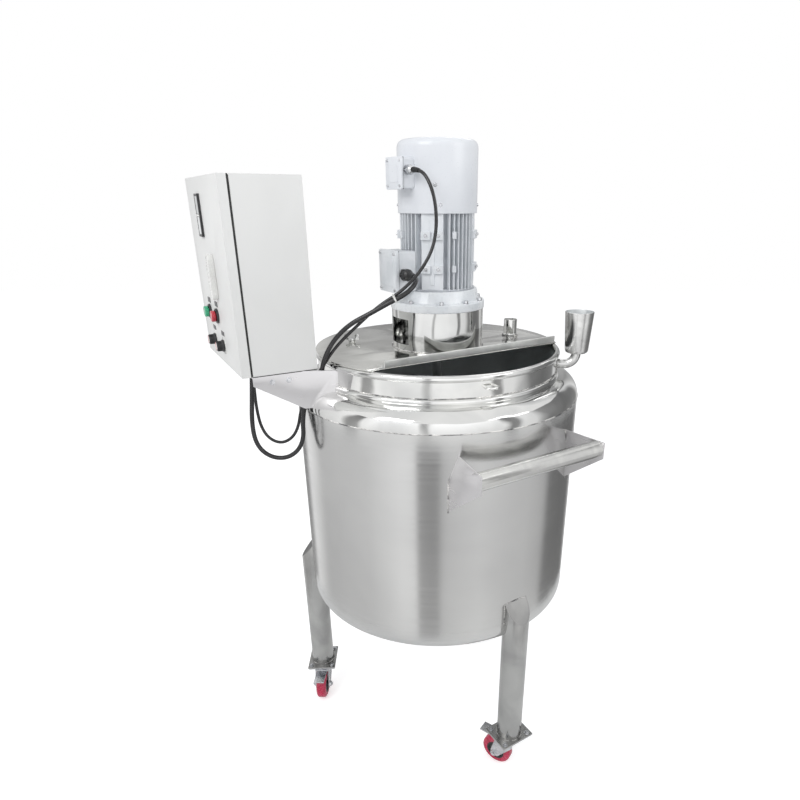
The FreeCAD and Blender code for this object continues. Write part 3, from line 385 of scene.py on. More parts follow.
def prism(outline, thick, matrix):
    """A plate: the outline (x, y) raised along its own Z."""
    shape = bmesh.new()
    lower = [shape.verts.new((x, y, 0)) for x, y in outline]
    face = shape.faces.new(lower)
    raised_face = bmesh.ops.extrude_face_region(shape, geom=[face])
    tops = [item for item in raised_face["geom"] if isinstance(item, bmesh.types.BMVert)]
    bmesh.ops.translate(shape, verts=tops, vec=(0, 0, thick))
    shape.transform(matrix)
    return shape


def joined(shapes):
    whole = bmesh.new()
    for shape in shapes:
        part = bpy.data.meshes.new("part")
        shape.to_mesh(part)
        whole.from_mesh(part)
        shape.free()
        bpy.data.meshes.remove(part)
    return whole


def to_row(shape, name):
    """A mesh in the row frame, its doubles merged and its faces pointing outwards."""
    bmesh.ops.remove_doubles(shape, verts=shape.verts, dist=0.0005)
    bmesh.ops.recalc_face_normals(shape, faces=shape.faces)
    shape.transform(TO_ROW)
    mesh = bpy.data.meshes.new(name)
    shape.to_mesh(mesh)
    shape.free()
    return mesh


def smooth(mesh):
    for face in mesh.polygons:
        face.use_smooth = True


def applied(obj):
    """Turns what the modifiers make into the object's own plain mesh."""
    graph = bpy.context.evaluated_depsgraph_get()
    mesh = bpy.data.meshes.new_from_object(obj.evaluated_get(graph), depsgraph=graph)
    obj.modifiers.clear()
    old = obj.data
    obj.data = mesh
    mesh.name = obj.name
    bpy.data.meshes.remove(old)


def edge_rounding(obj, width, steps):
    bevel = obj.modifiers.new("edges", "BEVEL")
    bevel.width = width * MM
    bevel.segments = steps
    bevel.limit_method = "ANGLE"
    bevel.angle_limit = math.radians(32)
    bevel.harden_normals = True


def rounded(obj, width, steps):
    """Rounds an object's edges and keeps the result as its mesh."""
    edge_rounding(obj, width, steps)
    smooth(obj.data)
    applied(obj)


def show(name, mesh):
    obj = bpy.data.objects.new(name, mesh)
    bpy.context.scene.collection.objects.link(obj)
    return obj


def cut_out(obj, shape):
    """Takes a shape away from an object."""
    tool = show("cutter", to_row(shape, "cutter"))
    boolean = obj.modifiers.new("cut", "BOOLEAN")
    boolean.operation = "DIFFERENCE"
    boolean.solver = "EXACT"
    boolean.object = tool
    applied(obj)
    bpy.data.objects.remove(tool)


def dressed(obj, look, body, stands_for):
    if not obj.data.materials:
        obj.data.materials.append(FINISH[look])
    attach(obj, body)
    if stands_for:
        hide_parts(*stands_for)
    return obj


def piece(name, shape, look, body="tank", slot=None, stands_for=(), rounding=0.0, cuts=None):
    """A finished piece of the machine from a shape in millimetres about the tank's axis."""
    obj = show(name, to_row(shape, name))
    if cuts is not None:
        cut_out(obj, cuts)
    if rounding:
        rounded(obj, rounding, 2)
    else:
        smooth(obj.data)
        obj.data.set_sharp_from_angle(angle=math.radians(38))
    return dressed(obj, look, body, stands_for)


def round_piece(name, outline, easing, segments, look, matrix=UNMOVED, **kept):
    """A turned piece: the outline with its corners rounded, about the matrix's Z."""
    return piece(name, lathed(eased(outline, easing), segments, matrix), look, **kept)


def softened(name, rounding, look=None, steps=2):
    """A rigid CAD piece with its edges rounded, in the same place."""
    shape = bmesh.new()
    shape.from_mesh(NODES[name].data)
    bmesh.ops.remove_doubles(shape, verts=shape.verts, dist=0.000001)
    bmesh.ops.dissolve_limit(
        shape, angle_limit=math.radians(0.4), verts=shape.verts, edges=shape.edges
    )
    mesh = bpy.data.meshes.new(name + "_form")
    shape.to_mesh(mesh)
    shape.free()
    obj = show(name + "_form", mesh)
    rounded(obj, rounding, steps)
    slot = SLOT_OF[name]
    return dressed(obj, look or slot, BODY_OF[name], (name,))


# Geometry node trees for what repeats
INPUT_KINDS = {"Sides": "Int", "Count": "Int", "Seed": "Int", "Material": "Material"}


def new_tree(name, *labels):
    """A tree with an input for each label: a number, where INPUT_KINDS says nothing else."""
    tree = bpy.data.node_groups.new(name, "GeometryNodeTree")
    tree.interface.new_socket("Geometry", in_out="INPUT", socket_type="NodeSocketGeometry")
    for label in (*labels, "Material"):
        kind = "NodeSocket" + INPUT_KINDS.get(label, "Float")
        tree.interface.new_socket(label, in_out="INPUT", socket_type=kind)
    tree.interface.new_socket("Geometry", in_out="OUTPUT", socket_type="NodeSocketGeometry")
    start = tree.nodes.new("NodeGroupInput")
    end = tree.nodes.new("NodeGroupOutput")
    return tree, start.outputs, end.inputs


def planted(tree, given, outputs, **inputs):
    """The end of a tree: an instance on every point, made real and given the material."""
    spread = node(tree, "GeometryNodeInstanceOnPoints", **inputs)
    real = node(tree, "GeometryNodeRealizeInstances", Geometry=spread.outputs[0])
    done = node(tree, "GeometryNodeSetMaterial", Geometry=real.outputs[0], Material=given["Material"])
    tree.links.new(done.outputs[0], outputs["Geometry"])
    return tree


def aligned(tree, axis, vector):
    """The turn that points an instance's axis along a vector."""
    return node(tree, "FunctionNodeAlignRotationToVector", {"axis": axis}, Vector=vector).outputs[0]


def fastener_tree():
    """A head on a washer at each point, standing along the point's facing."""
    tree, given, outputs = new_tree(
        "fastener_heads", "Sides", "Head Width", "Head Height", "Crown", "Washer Width", "Washer Height"
    )
    bottom = maths(tree, "MULTIPLY", given["Head Width"], 0.5)
    top = maths(tree, "MULTIPLY", bottom, given["Crown"])
    head = node(
        tree, "GeometryNodeMeshCone", Vertices=given["Sides"], Depth=given["Head Height"],
        Radius_Bottom=bottom, Radius_Top=top,
    )
    half = maths(tree, "MULTIPLY", given["Washer Width"], 0.5)
    washer = node(
        tree, "GeometryNodeMeshCone", Vertices=24, Depth=given["Washer Height"],
        Radius_Bottom=half, Radius_Top=half,
    )
    lift = node(tree, "ShaderNodeCombineXYZ", Z=given["Washer Height"])
    seated = node(
        tree, "GeometryNodeTransform", Geometry=head.outputs["Mesh"], Translation=lift.outputs[0]
    )
    both = node(tree, "GeometryNodeJoinGeometry")
    tree.links.new(seated.outputs[0], both.inputs[0])
    tree.links.new(washer.outputs["Mesh"], both.inputs[0])
    facing = node(tree, "GeometryNodeInputNamedAttribute", {"data_type": "FLOAT_VECTOR"}, Name="facing")
    way = aligned(tree, "Z", facing.outputs["Attribute"])
    return planted(tree, given, outputs, Points=given["Geometry"], Instance=both.outputs[0], Rotation=way)


def bead_tree():
    """A weld bead: overlapping flat ripples along a line."""
    tree, given, outputs = new_tree("weld_bead", "Bead Width", "Ripple", "Seed")
    line = node(tree, "GeometryNodeMeshToCurve", Mesh=given["Geometry"])
    spots = node(
        tree, "GeometryNodeCurveToPoints", {"mode": "LENGTH"}, Curve=line.outputs[0], Length=given["Ripple"]
    )
    grain = node(tree, "GeometryNodeMeshUVSphere", Segments=8, Rings=5, Radius=given["Bead Width"])
    uneven = node(tree, "FunctionNodeRandomValue", {"data_type": "FLOAT"}, Seed=given["Seed"])
    uneven.inputs[2].default_value = 0.42
    uneven.inputs[3].default_value = 0.56
    return planted(
        tree, given, outputs, Points=spots.outputs["Points"], Instance=grain.outputs["Mesh"],
        Rotation=spots.outputs["Rotation"], Scale=uneven.outputs[1],
    )


def fin_tree():
    """Straight fins round an upright barrel, left out where a pad stands at each quarter turn."""
    tree, given, outputs = new_tree(
        "barrel_fins", "Count", "Middle Radius", "Depth", "Thickness", "Height", "Pad Share"
    )
    ring = node(tree, "GeometryNodeMeshCircle", Vertices=given["Count"], Radius=given["Middle Radius"])
    number = node(tree, "GeometryNodeInputIndex").outputs[0]
    share = maths(tree, "DIVIDE", maths(tree, "ADD", number, 0.5), given["Count"])
    off = maths(tree, "PINGPONG", maths(tree, "MULTIPLY", share, 4.0), 0.5)
    near = maths(tree, "LESS_THAN", off, given["Pad Share"])
    kept = node(
        tree, "GeometryNodeDeleteGeometry", {"domain": "POINT"}, Geometry=ring.outputs[0], Selection=near
    )
    size = node(
        tree, "ShaderNodeCombineXYZ", X=given["Thickness"], Y=given["Depth"], Z=given["Height"]
    )
    fin = node(tree, "GeometryNodeMeshCube", Size=size.outputs[0])
    way = aligned(tree, "Y", node(tree, "GeometryNodeInputPosition").outputs[0])
    return planted(
        tree, given, outputs, Points=kept.outputs[0], Instance=fin.outputs["Mesh"], Rotation=way
    )


TREES = {"fasteners": fastener_tree(), "bead": bead_tree(), "fins": fin_tree()}


def grown(name, mesh, tree, values, look, body="tank", rounding=0.0):
    """Runs a tree over a mesh of points or lines and keeps the result as a plain mesh."""
    obj = show(name, mesh)
    grower = obj.modifiers.new("grower", "NODES")
    grower.node_group = TREES[tree]
    sockets = TREES[tree].interface.items_tree
    names = {item.name: item.identifier for item in sockets if item.in_out == "INPUT"}
    for label, value in values.items():
        grower[names[label]] = value
    grower[names["Material"]] = FINISH[look]
    if rounding:
        edge_rounding(obj, rounding, 1)
    applied(obj)
    return dressed(obj, look, body, ())


def fasteners(name, spots, width, height, washer, sides=6, crown=0.9, body="tank"):
    """Screw or bolt heads. Each spot is a point and the way that the head faces."""
    mesh = bpy.data.meshes.new(name)
    mesh.from_pydata([TO_ROW @ Vector(spot) for spot, _ in spots], [], [])
    facing = mesh.attributes.new("facing", "FLOAT_VECTOR", "POINT")
    for index, (_, way) in enumerate(spots):
        facing.data[index].vector = Vector(way)
    values = {
        "Sides": sides, "Head Width": width * MM, "Head Height": height * MM, "Crown": crown,
        "Washer Width": washer * MM, "Washer Height": height * 0.2 * MM,
    }
    grown(name, mesh, "fasteners", values, "zinc_steel", body, rounding=0.05 * width)


def bead(name, points, width, ripple, seed, closed=True):
    """A weld bead along points."""
    mesh = bpy.data.meshes.new(name)
    edges = [(index, index + 1) for index in range(len(points) - 1)]
    if closed:
        edges.append((len(points) - 1, 0))
    mesh.from_pydata([TO_ROW @ Vector(point) for point in points], edges, [])
    values = {"Bead Width": width * MM, "Ripple": ripple * MM, "Seed": seed}
    smooth(grown(name, mesh, "bead", values, "weld_steel").data)


def circle(radius, height, steps, centre=(0, 0)):
    angles = [TAU * i / steps for i in range(steps)]
    return [(centre[0] + radius * math.sin(a), centre[1] - radius * math.cos(a), height) for a in angles]


def wall(outer, inner, low, high):
    """The outline of a straight tube's wall."""
    return ((outer, low), (outer, high), (inner, high), (inner, low))


def arc(centre, radius, start, turn, steps):
    """Points (radius, height) round a centre, from a start and over a turn, as shares of a full one."""
    angles = [TAU * (start + turn * i / steps) for i in range(steps + 1)]
    return [(centre[0] + radius * math.cos(a), centre[1] + radius * math.sin(a)) for a in angles]


# Camera, at the photograph's viewing angle, for an image of 800 by 800
CAMERA_PLACE = AXIS + Vector((0, -1.4607, 1.3967))
CAMERA_PITCH = 66.67
SENSOR = 36.0
FOCAL_PIXELS = 598.0
IMAGE = 800.0
PRINCIPAL = (437.5, 460.0)
camera = bpy.data.objects.new("camera", bpy.data.cameras.new("camera"))
camera.data.sensor_width = SENSOR
camera.data.lens = FOCAL_PIXELS * SENSOR / IMAGE
camera.data.shift_x = (IMAGE / 2 - PRINCIPAL[0]) / IMAGE
camera.data.shift_y = (PRINCIPAL[1] - IMAGE / 2) / IMAGE
camera.location = CAMERA_PLACE
camera.rotation_euler = (math.radians(CAMERA_PITCH), 0, 0)
bpy.context.scene.collection.objects.link(camera)
bpy.context.scene.camera = camera
bpy.context.scene.view_settings.view_transform = "Standard"


# Floor, backdrop and lamps
def seen_directly(tree):
    """1 for rays from the camera, off gloss or through glass."""
    path = node(tree, "ShaderNodeLightPath").outputs
    total = maths(tree, "MAXIMUM", path["Is Camera Ray"], path["Is Glossy Ray"])
    return maths(tree, "MAXIMUM", total, path["Is Transmission Ray"])


world = bpy.data.worlds.new("studio")
world.use_nodes = True
bpy.context.scene.world = world
sky = world.node_tree
ambient = sky.nodes["Background"]
ambient.inputs["Color"].default_value = (0.97, 0.985, 1.0, 1)
ambient.inputs["Strength"].default_value = 0.68
white = node(sky, "ShaderNodeBackground", Color=(1, 1, 1, 1), Strength=1.0)
choice = node(sky, "ShaderNodeMixShader")
for socket, source in zip(choice.inputs, (seen_directly(sky), ambient.outputs[0], white.outputs[0])):
    sky.links.new(source, socket)
sky.links.new(choice.outputs[0], sky.nodes["World Output"].inputs["Surface"])

FLOOR_HALF = 9.0
FLOOR_Z = -0.0005
floor_material, floor_tree, floor_shader = new_material(
    "pale_floor", Base_Color=(0.82, 0.82, 0.82, 1), Roughness=0.9, Emission_Color=(1, 1, 1, 1)
)
to_camera = node(floor_tree, "ShaderNodeLightPath").outputs["Is Camera Ray"]
glow = ranged(floor_tree, to_camera, 0.0, 0.48, 0.0, 1.0)
floor_tree.links.new(glow, floor_shader.inputs["Emission Strength"])
floor_mesh = bpy.data.meshes.new("floor")
floor_mesh.from_pydata(
    [(x * FLOOR_HALF, y * FLOOR_HALF, FLOOR_Z) for x, y in ((-1, -1), (1, -1), (1, 1), (-1, 1))],
    [], [(0, 1, 2, 3)],
)
floor_mesh.materials.append(floor_material)
floor = show("floor", floor_mesh)


def studio_ring(name, distance, heights, shades):
    """A round screen that only gloss shows, as stands beside bright metal. It has a lower and an upper
    shade at each upright line's bearing, blended between."""
    mesh = bpy.data.meshes.new(name)
    corners = []
    faces = []
    for index, (bearing, _, _) in enumerate(shades):
        spot = AXIS + place(bearing, distance)
        corners += [(spot.x, spot.y, heights[0]), (spot.x, spot.y, heights[1])]
        if index:
            last = 2 * index
            faces.append((last - 2, last, last + 1, last - 1))
    mesh.from_pydata(corners, [], faces)
    layer = mesh.color_attributes.new("shade", "FLOAT_COLOR", "POINT")
    for index, (_, low, high) in enumerate(shades):
        layer.data[2 * index].color = (low, low, low, 1)
        layer.data[2 * index + 1].color = (high, high, high * 1.01, 1)
    material, tree, shader = new_material(
        name, Base_Color=(0, 0, 0, 1), Roughness=1.0, Emission_Strength=1.0
    )
    shade = node(tree, "ShaderNodeAttribute", {"attribute_name": "shade"})
    tree.links.new(shade.outputs["Color"], shader.inputs["Emission Color"])
    mesh.materials.append(material)
    flat = show(name, mesh)
    flat.visible_camera = False
    flat.visible_diffuse = False
    flat.visible_transmission = False
    flat.visible_shadow = False


LOW_SHADES = (
    (-180, 0.40, 0.30), (-165, 0.50, 0.40), (-150, 0.30, 0.30), (-138, 0.62, 0.55), (-126, 0.24, 0.20),
    (-118, 0.40, 0.36), (-112, 0.95, 1.00), (-100, 0.80, 0.86), (-90, 0.62, 0.62), (-70, 0.70, 0.70),
    (-46, 0.74, 0.76), (-34, 0.84, 0.90), (-24, 0.96, 1.00), (-14, 0.96, 1.00), (-12, 0.50, 0.34),
    (0, 0.46, 0.30), (3, 0.70, 0.60), (10, 0.74, 0.74), (28, 0.82, 0.84), (46, 0.72, 0.74),
    (64, 0.68, 0.66), (80, 0.58, 0.54), (86, 0.24, 0.20), (104, 0.20, 0.16), (124, 0.18, 0.16),
    (132, 0.60, 0.70), (144, 0.30, 0.25), (158, 0.55, 0.50), (170, 0.25, 0.25), (180, 0.40, 0.30),
)
HIGH_SHADES = (
    (-180, 0.35, 0.35), (-150, 0.45, 0.50), (-132, 0.85, 0.80), (-118, 0.30, 0.20), (-110, 0.95, 0.90),
    (-84, 0.80, 1.00), (-64, 1.00, 1.00), (-60, 0.40, 0.22), (-53, 0.45, 0.22), (-50, 1.05, 1.05),
    (-34, 0.95, 1.30), (-12, 1.05, 1.40), (-8, 0.70, 0.45), (-6, 0.70, 0.45), (-3, 1.05, 1.40),
    (22, 1.00, 1.40), (42, 0.90, 1.20), (45, 0.30, 0.22), (50, 0.35, 0.25), (54, 0.95, 1.05),
    (66, 0.90, 0.90), (78, 0.24, 0.40), (96, 0.18, 0.22), (120, 0.26, 0.18), (127, 0.80, 0.80),
    (140, 0.35, 0.30), (158, 0.65, 0.60), (180, 0.35, 0.35),
)
REAR_SHADES = (
    (120, 0.85, 0.95), (140, 0.60, 0.70), (152, 0.72, 0.55), (163, 0.34, 0.60), (170, 0.66, 0.40),
    (178, 0.52, 0.74), (188, 0.70, 0.58), (197, 0.42, 0.72), (208, 0.74, 0.60), (225, 0.55, 0.90),
    (240, 0.85, 0.95),
)
studio_ring("screen_low", 0.85, (0.02, 0.74), LOW_SHADES)
studio_ring("screen_high", 0.90, (0.74, 1.46), HIGH_SHADES)
studio_ring("screen_rear", 2.6, (1.5, 4.4), REAR_SHADES)


def softbox(name, spot, aim, size, power):
    lamp = bpy.data.lights.new(name, "AREA")
    lamp.shape = "SQUARE"
    lamp.size = size
    lamp.energy = power
    holder = show(name, lamp)
    holder.location = spot
    holder.rotation_euler = (Vector(aim) - Vector(spot)).to_track_quat("-Z", "Y").to_euler()


softbox("key_light", (-1.6, -2.2, 3.0), (0.0, 0.0, 0.9), 1.6, 42.0)
softbox("fill_light", (2.4, -1.2, 2.2), (0.1, 0.0, 0.9), 1.4, 16.0)
softbox("rear_light", (0.6, 2.6, 2.8), (0.0, 0.0, 1.0), 1.6, 18.0)

# Cords. The points are those of the part's source, moved a little where a tie draws the two together
MOTOR_CORD = (
    (-60.1, -110.9, 1250), (-45, -137, 1250), (-46, -169, 1239), (-66, -187, 1221), (-102, -191, 1204),
    (-143, -195, 1182), (-186, -191, 1160), (-222, -188, 1126), (-244, -190, 1088), (-256, -188, 1045),
    (-291, -191, 1000), (-302, -196, 950), (-303, -196, 905), (-318, -198, 875), (-344, -199, 858),
    (-375, -199, 858), (-401, -198, 874), (-415, -196, 902), (-417, -193, 946), (-411, -190, 998),
    (-405, -189, 1050),
)
FAN_CORD = (
    (-50.5, -102.4, 1458), (-37.5, -118, 1457), (-24, -131, 1447), (-11, -141, 1422), (-3, -145, 1387),
    (-2, -146, 1345), (-11, -150, 1304), (-36, -164, 1263), (-75, -185, 1226), (-124, -183, 1197),
    (-178, -181, 1149), (-221, -182, 1109), (-254, -176, 1062), (-290, -175, 1014), (-309, -175, 966),
    (-317, -178, 926), (-334, -178, 898), (-361, -178, 885), (-389, -176, 897), (-405, -172, 926),
    (-411, -167, 966), (-412, -163, 1008), (-411.5, -161.6, 1050),
)


def cord_piece(name, points, radius, node_name):
    """A cord on one smooth spline, and the points along its middle in millimetres."""
    curve = bpy.data.curves.new(name, "CURVE")
    curve.dimensions = "3D"
    curve.resolution_u = 12
    spline = curve.splines.new("NURBS")
    spline.points.add(len(points) - 1)
    for spot, point in zip(spline.points, points):
        spot.co = (*(TO_ROW @ Vector(point)), 1)
    spline.order_u = 3
    spline.use_endpoint_u = True
    obj = show(name, curve)
    line = bpy.data.meshes.new_from_object(obj)
    back = TO_ROW.inverted()
    middle = [back @ spot.co for spot in line.vertices]
    bpy.data.meshes.remove(line)
    curve.bevel_depth = radius * MM
    curve.bevel_resolution = 5
    curve.use_fill_caps = True
    curve.materials.append(FINISH["cable_rubber"])
    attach(obj, "tank")
    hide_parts(node_name)
    return obj, middle


def along(middle, distance):
    """The point and heading at a distance along a cord's middle."""
    passed = 0.0
    for start, end in zip(middle, middle[1:]):
        step = (end - start).length
        if passed + step >= distance:
            return start.lerp(end, (distance - passed) / step), (end - start).normalized()
        passed += step
    return middle[-1], (middle[-1] - middle[-2]).normalized()


def relief_sleeve(name, middle, length, wide, narrow):
    """A tapered strain relief on a cord's start, with grooves round it."""
    sides = 20
    ribs = 5
    groove = 0.9
    begin = 0.5
    stations = []
    for index in range(ribs):
        radius = wide + (narrow - wide) * index / ribs
        for share, depth in ((0, 0), (0.6, 0), (0.65, groove), (0.95, groove)):
            stations.append(((index + share) * length / ribs, radius - depth))
    stations.append((length, narrow))
    shape = bmesh.new()
    rings = []
    for distance, radius in stations:
        matrix = standing(*along(middle, begin + distance))
        angles = [TAU * i / sides for i in range(sides)]
        spots = [Vector((radius * math.cos(a), radius * math.sin(a), 0)) for a in angles]
        rings.append([shape.verts.new(matrix @ spot) for spot in spots])
    skinned(shape, rings, rings[1:])
    shape.faces.new(rings[0])
    shape.faces.new(rings[-1])
    return piece(name, shape, "black_plastic")


motor_cable, motor_middle = cord_piece("motor_cord", MOTOR_CORD, MOTOR_CORD_R, "motor_cable")
fan_cable, fan_middle = cord_piece("fan_cord", FAN_CORD, FAN_CORD_R, "fan_cable")
motor_relief = relief_sleeve("motor_cord_relief", motor_middle, 24, 8.4, 5.9)
fan_relief = relief_sleeve("fan_cord_relief", fan_middle, 20, 5.6, 4.2)


def nearest(middle, spot):
    """The point of a cord's middle nearest a spot, and the heading there."""
    index = min(range(1, len(middle) - 1), key=lambda i: (middle[i] - spot).length)
    return middle[index], (middle[index + 1] - middle[index - 1]).normalized()


def cable_tie(name, spot, reach, thick, wide):
    """A strap round both cords near a spot, with its lock and cut tail."""
    gap = 0.2
    steps = 16
    first, heading = nearest(motor_middle, Vector(spot))
    second, _ = nearest(fan_middle, first)
    second -= heading * (second - first).dot(heading)
    side = heading.cross(second - first).normalized()
    across = (second - first).normalized()
    half = heading * wide / 2
    shape = bmesh.new()
    rings = []
    for middle, radius, start in ((second, FAN_CORD_R, -90), (first, MOTOR_CORD_R, 90)):
        for i in range(steps + 1):
            angle = math.radians(start + 180 * i / steps)
            way = across * math.cos(angle) + side * math.sin(angle)
            inner = middle + way * (radius + gap)
            outer = middle + way * (radius + gap + thick)
            corners = (inner - half, outer - half, outer + half, inner + half)
            rings.append([shape.verts.new(corner) for corner in corners])
    skinned(shape, rings, rings[1:] + rings[:1])
    basis = Matrix((side, across, heading)).transposed().to_4x4()
    lock_at = Matrix.Translation((first + second) / 2) @ basis
    lock = slab((-8.6, -2.6, -2.4), (-4.8, 2.6, 2.4), lock_at)
    tail = slab((-8.0 - reach, -0.6, -1.4), (-8.0, 0.6, 1.4), lock_at)
    piece(name, joined([shape, lock, tail]), "white_plastic")


cable_tie("cable_tie", (-87, -190, 1210), 9.0, 1.2, 3.6)

# CAD pieces that stay as they are get their finish
# The coupling inside the pedestal takes the steel of painted shade
LOOKS = {"shaft_coupling": "inside_steel_painted_shade"}
for name, obj in NODES.items():
    obj.data.materials.clear()
    obj.data.materials.append(FINISH[LOOKS.get(name, SLOT_OF[name])])


def darken_inside(obj, middle, floor_height):
    """Gives the faces that look into a round vessel, above about its floor, a rougher, less metallic and
    slightly darker steel: painted shade inside the vessel.
    """
    obj.data.materials.append(FINISH["inside_steel_painted_shade"])
    for face in obj.data.polygons:
        centre = face.center - AXIS - Vector(middle)
        flat = Vector((centre.x, centre.y, 0))
        looks_in = face.normal.dot(flat) < -0.2 * flat.length
        if looks_in or (centre.z < floor_height and face.normal.z > 0.5):
            face.material_index = 1


# Vessel and jacket
ROUND_STEPS = 256
rim_centre = RIM_TOP - RIM_ROD_R


def dished(outer, thick, top, edge, hole, low, knuckle):
    """A round wall that turns into a floor, which falls to a hole. The floor's edge and its low are
    given by two heights each, of its underside and its inside."""
    inner = outer - thick
    outline = (
        (outer, top), (outer, edge[0]), (hole, low[0]), (hole, low[1]), (inner, edge[1]), (inner, top)
    )
    return lathed(eased(outline, (0, knuckle, 0, 0, knuckle - thick, 0)), ROUND_STEPS)


pot = piece(
    "vessel_wall", dished(NECK_R, NECK_WALL, rim_centre, (500, 503.4), 23, (459.5, 462.6), 60),
    "polished_steel", stands_for=("inner_tank",),
)
darken_inside(pot, (0, 0, 0), 0.51)
rim_outline = arc((NECK_R - NECK_WALL / 2, rim_centre), RIM_ROD_R, 0, 0.95, 19)
piece("rim_bead", lathed(rim_outline, ROUND_STEPS), "polished_steel", stands_for=("rim_ring",))
side = lathed(wall(JACKET_R, JACKET_R - JACKET_WALL, JACKET_BOTTOM, JACKET_TOP), ROUND_STEPS)
piece("jacket_side", side, "brushed_steel", stands_for=("jacket_shell",))
shoulder_top = JACKET_TOP + SHOULDER_ROUND
shoulder_centre = (JACKET_R - SHOULDER_ROUND, JACKET_TOP)
shoulder = lathed(
    [
        *arc(shoulder_centre, SHOULDER_ROUND, 0, 0.25, 12),
        *arc((NECK_R, shoulder_top + BEAD_R - 1), BEAD_R, -0.11, 0.42, 8),
        (NECK_R + 0.2, shoulder_top),
        (NECK_R + 0.2, shoulder_top - JACKET_WALL),
        *arc(shoulder_centre, SHOULDER_ROUND - JACKET_WALL, 0.25, -0.25, 12),
    ],
    ROUND_STEPS,
)
piece("jacket_round", shoulder, "polished_steel", stands_for=("jacket_shoulder",))
piece(
    "jacket_floor", dished(JACKET_R, JACKET_WALL, JACKET_BOTTOM, (430, 433.2), 25.1, (402.2, 405.2), 45),
    "brushed_steel", stands_for=("jacket_bottom",),
)
bead("seam_upper", circle(JACKET_R - 0.6, JACKET_TOP, 320), 3.6, 2.6, 4)
bead("seam_lower", circle(JACKET_R - 0.9, JACKET_BOTTOM, 320), 2.2, 2.4, 5)
bead("seam_neck", circle(NECK_R + 0.5, 1026.5, 300), 2.6, 2.2, 6)
softened("outlet_pipe", 0.8)

# Lid and what stands on it
NOZZLE_SPOT = (190, 112)
softened("fixed_lid", 0.9, "lid_steel")
softened("lid_edge_bar", 1.4, "strip_steel")
softened("lid_clamp", 1.6)
round_piece(
    "nozzle_tube",
    ((15, LID_TOP), (19, LID_TOP), (19, 1082), (17, 1082), (17, 1118), (15, 1118)),
    (0, 0, 1, 0.6, 0.9, 0.9), 64, "polished_steel",
    Matrix.Translation((*NOZZLE_SPOT, 0)), stands_for=("lid_nozzle",),
)
bead("weld_nozzle", circle(19.5, LID_TOP + 0.4, 60, NOZZLE_SPOT), 2.6, 1.8, 7)
bead("weld_pedestal", circle(PEDESTAL_R + 0.6, LID_TOP + 0.6, 160), 4.0, 3.0, 8)

# Filling cup
ELBOW_WELD_R = 11.6
cup_spot = place(CUP_BEARING, CUP_OUT)
cup = round_piece(
    "cup_wall",
    ((27, 1068), (33.5, 1164), (31.5, 1164), (25.1, 1070.5), (9, 1070.5), (9, 1068)),
    (9, 0.9, 0.9, 7, 0, 0), 96, "satin_steel",
    Matrix.Translation(cup_spot), slot="polished_steel", stands_for=("feed_cup",),
)
darken_inside(cup, cup_spot * MM, 1.07)
cup_weld = circle(ELBOW_WELD_R, 1067.6, 40, cup_spot[:2])
bead("weld_cup", cup_weld, 2.2, 1.6, 9)
softened("feed_elbow", 0.5, "satin_steel")
elbow_turn = turned(CUP_BEARING) @ standing((0, -NECK_R - 0.8, 1040), (0, -1, 0))
elbow_weld = [elbow_turn @ Vector(spot) for spot in circle(ELBOW_WELD_R, 0, 40)]
bead("weld_elbow", elbow_weld, 2.4, 1.7, 10)

# Drive
WINDOW_HALF = 41.0
WINDOW_BEARING = -60.0
window = slab(
    (-WINDOW_HALF, -2 * PEDESTAL_R, LID_TOP + 14), (WINDOW_HALF, 2 * PEDESTAL_R, LID_TOP + 72),
    turned(WINDOW_BEARING),
)
pedestal = lathed(wall(PEDESTAL_R, PEDESTAL_R - PEDESTAL_WALL, LID_TOP, FLANGE_LOW), 160)
piece(
    "pedestal_wall", pedestal, "polished_steel", stands_for=("drive_pedestal",), cuts=window, rounding=0.8
)
round_piece(
    "flange_ring",
    (
        (0.0, FLANGE_LOW), (FLANGE_R, FLANGE_LOW), (FLANGE_R, FLANGE_TOP),
        (98, FLANGE_TOP), (92, FRAME_LOW), (0.0, FRAME_LOW),
    ),
    (0, 1.5, 3, 4, 2, 0), 128, "flange_paint", stands_for=("motor_flange",),
)
# The barrel's core between the fins takes a darker paint than the motor: painted shade between the fins
round_piece(
    "motor_barrel",
    (
        (0.0, FRAME_LOW), (FIN_R, FRAME_LOW), (FIN_R, FRAME_LOW + 4), (CORE_R, FRAME_LOW + 6),
        (CORE_R, FRAME_HIGH - 1), (86.2, FRAME_HIGH), (86.2, FRAME_HIGH + 15), (0.0, FRAME_HIGH + 15),
    ),
    (0, 1.5, 2, 3, 1, 0.5, 2, 0), 128, "painted_shade_between_fins", slot="motor_paint", stands_for=("motor_frame",),
)
FIN_COUNT = 48
FIN_THICK = 2.6
FIN_ROOT = CORE_R - 2
PAD_BEARING = -8.0
HALF_STEP = 180 / FIN_COUNT
fin_low = FRAME_LOW + 2
fin_high = FRAME_HIGH + 1
ring_seed = bpy.data.meshes.new("fin_seed")
ring_seed.from_pydata([(0, 0, 0)], [], [])
fin_values = {
    "Count": FIN_COUNT, "Middle Radius": (FIN_R + FIN_ROOT) / 2 * MM, "Depth": (FIN_R - FIN_ROOT) * MM,
    "Thickness": FIN_THICK * MM, "Height": (fin_high - fin_low) * MM, "Pad Share": 0.245,
}
fins = grown("motor_fins", ring_seed, "fins", fin_values, "motor_paint", rounding=0.7)
fins_middle = AXIS + Vector((0, 0, (fin_low + fin_high) / 2 * MM))
fins.data.transform(Matrix.Translation(fins_middle) @ turned(PAD_BEARING + HALF_STEP))

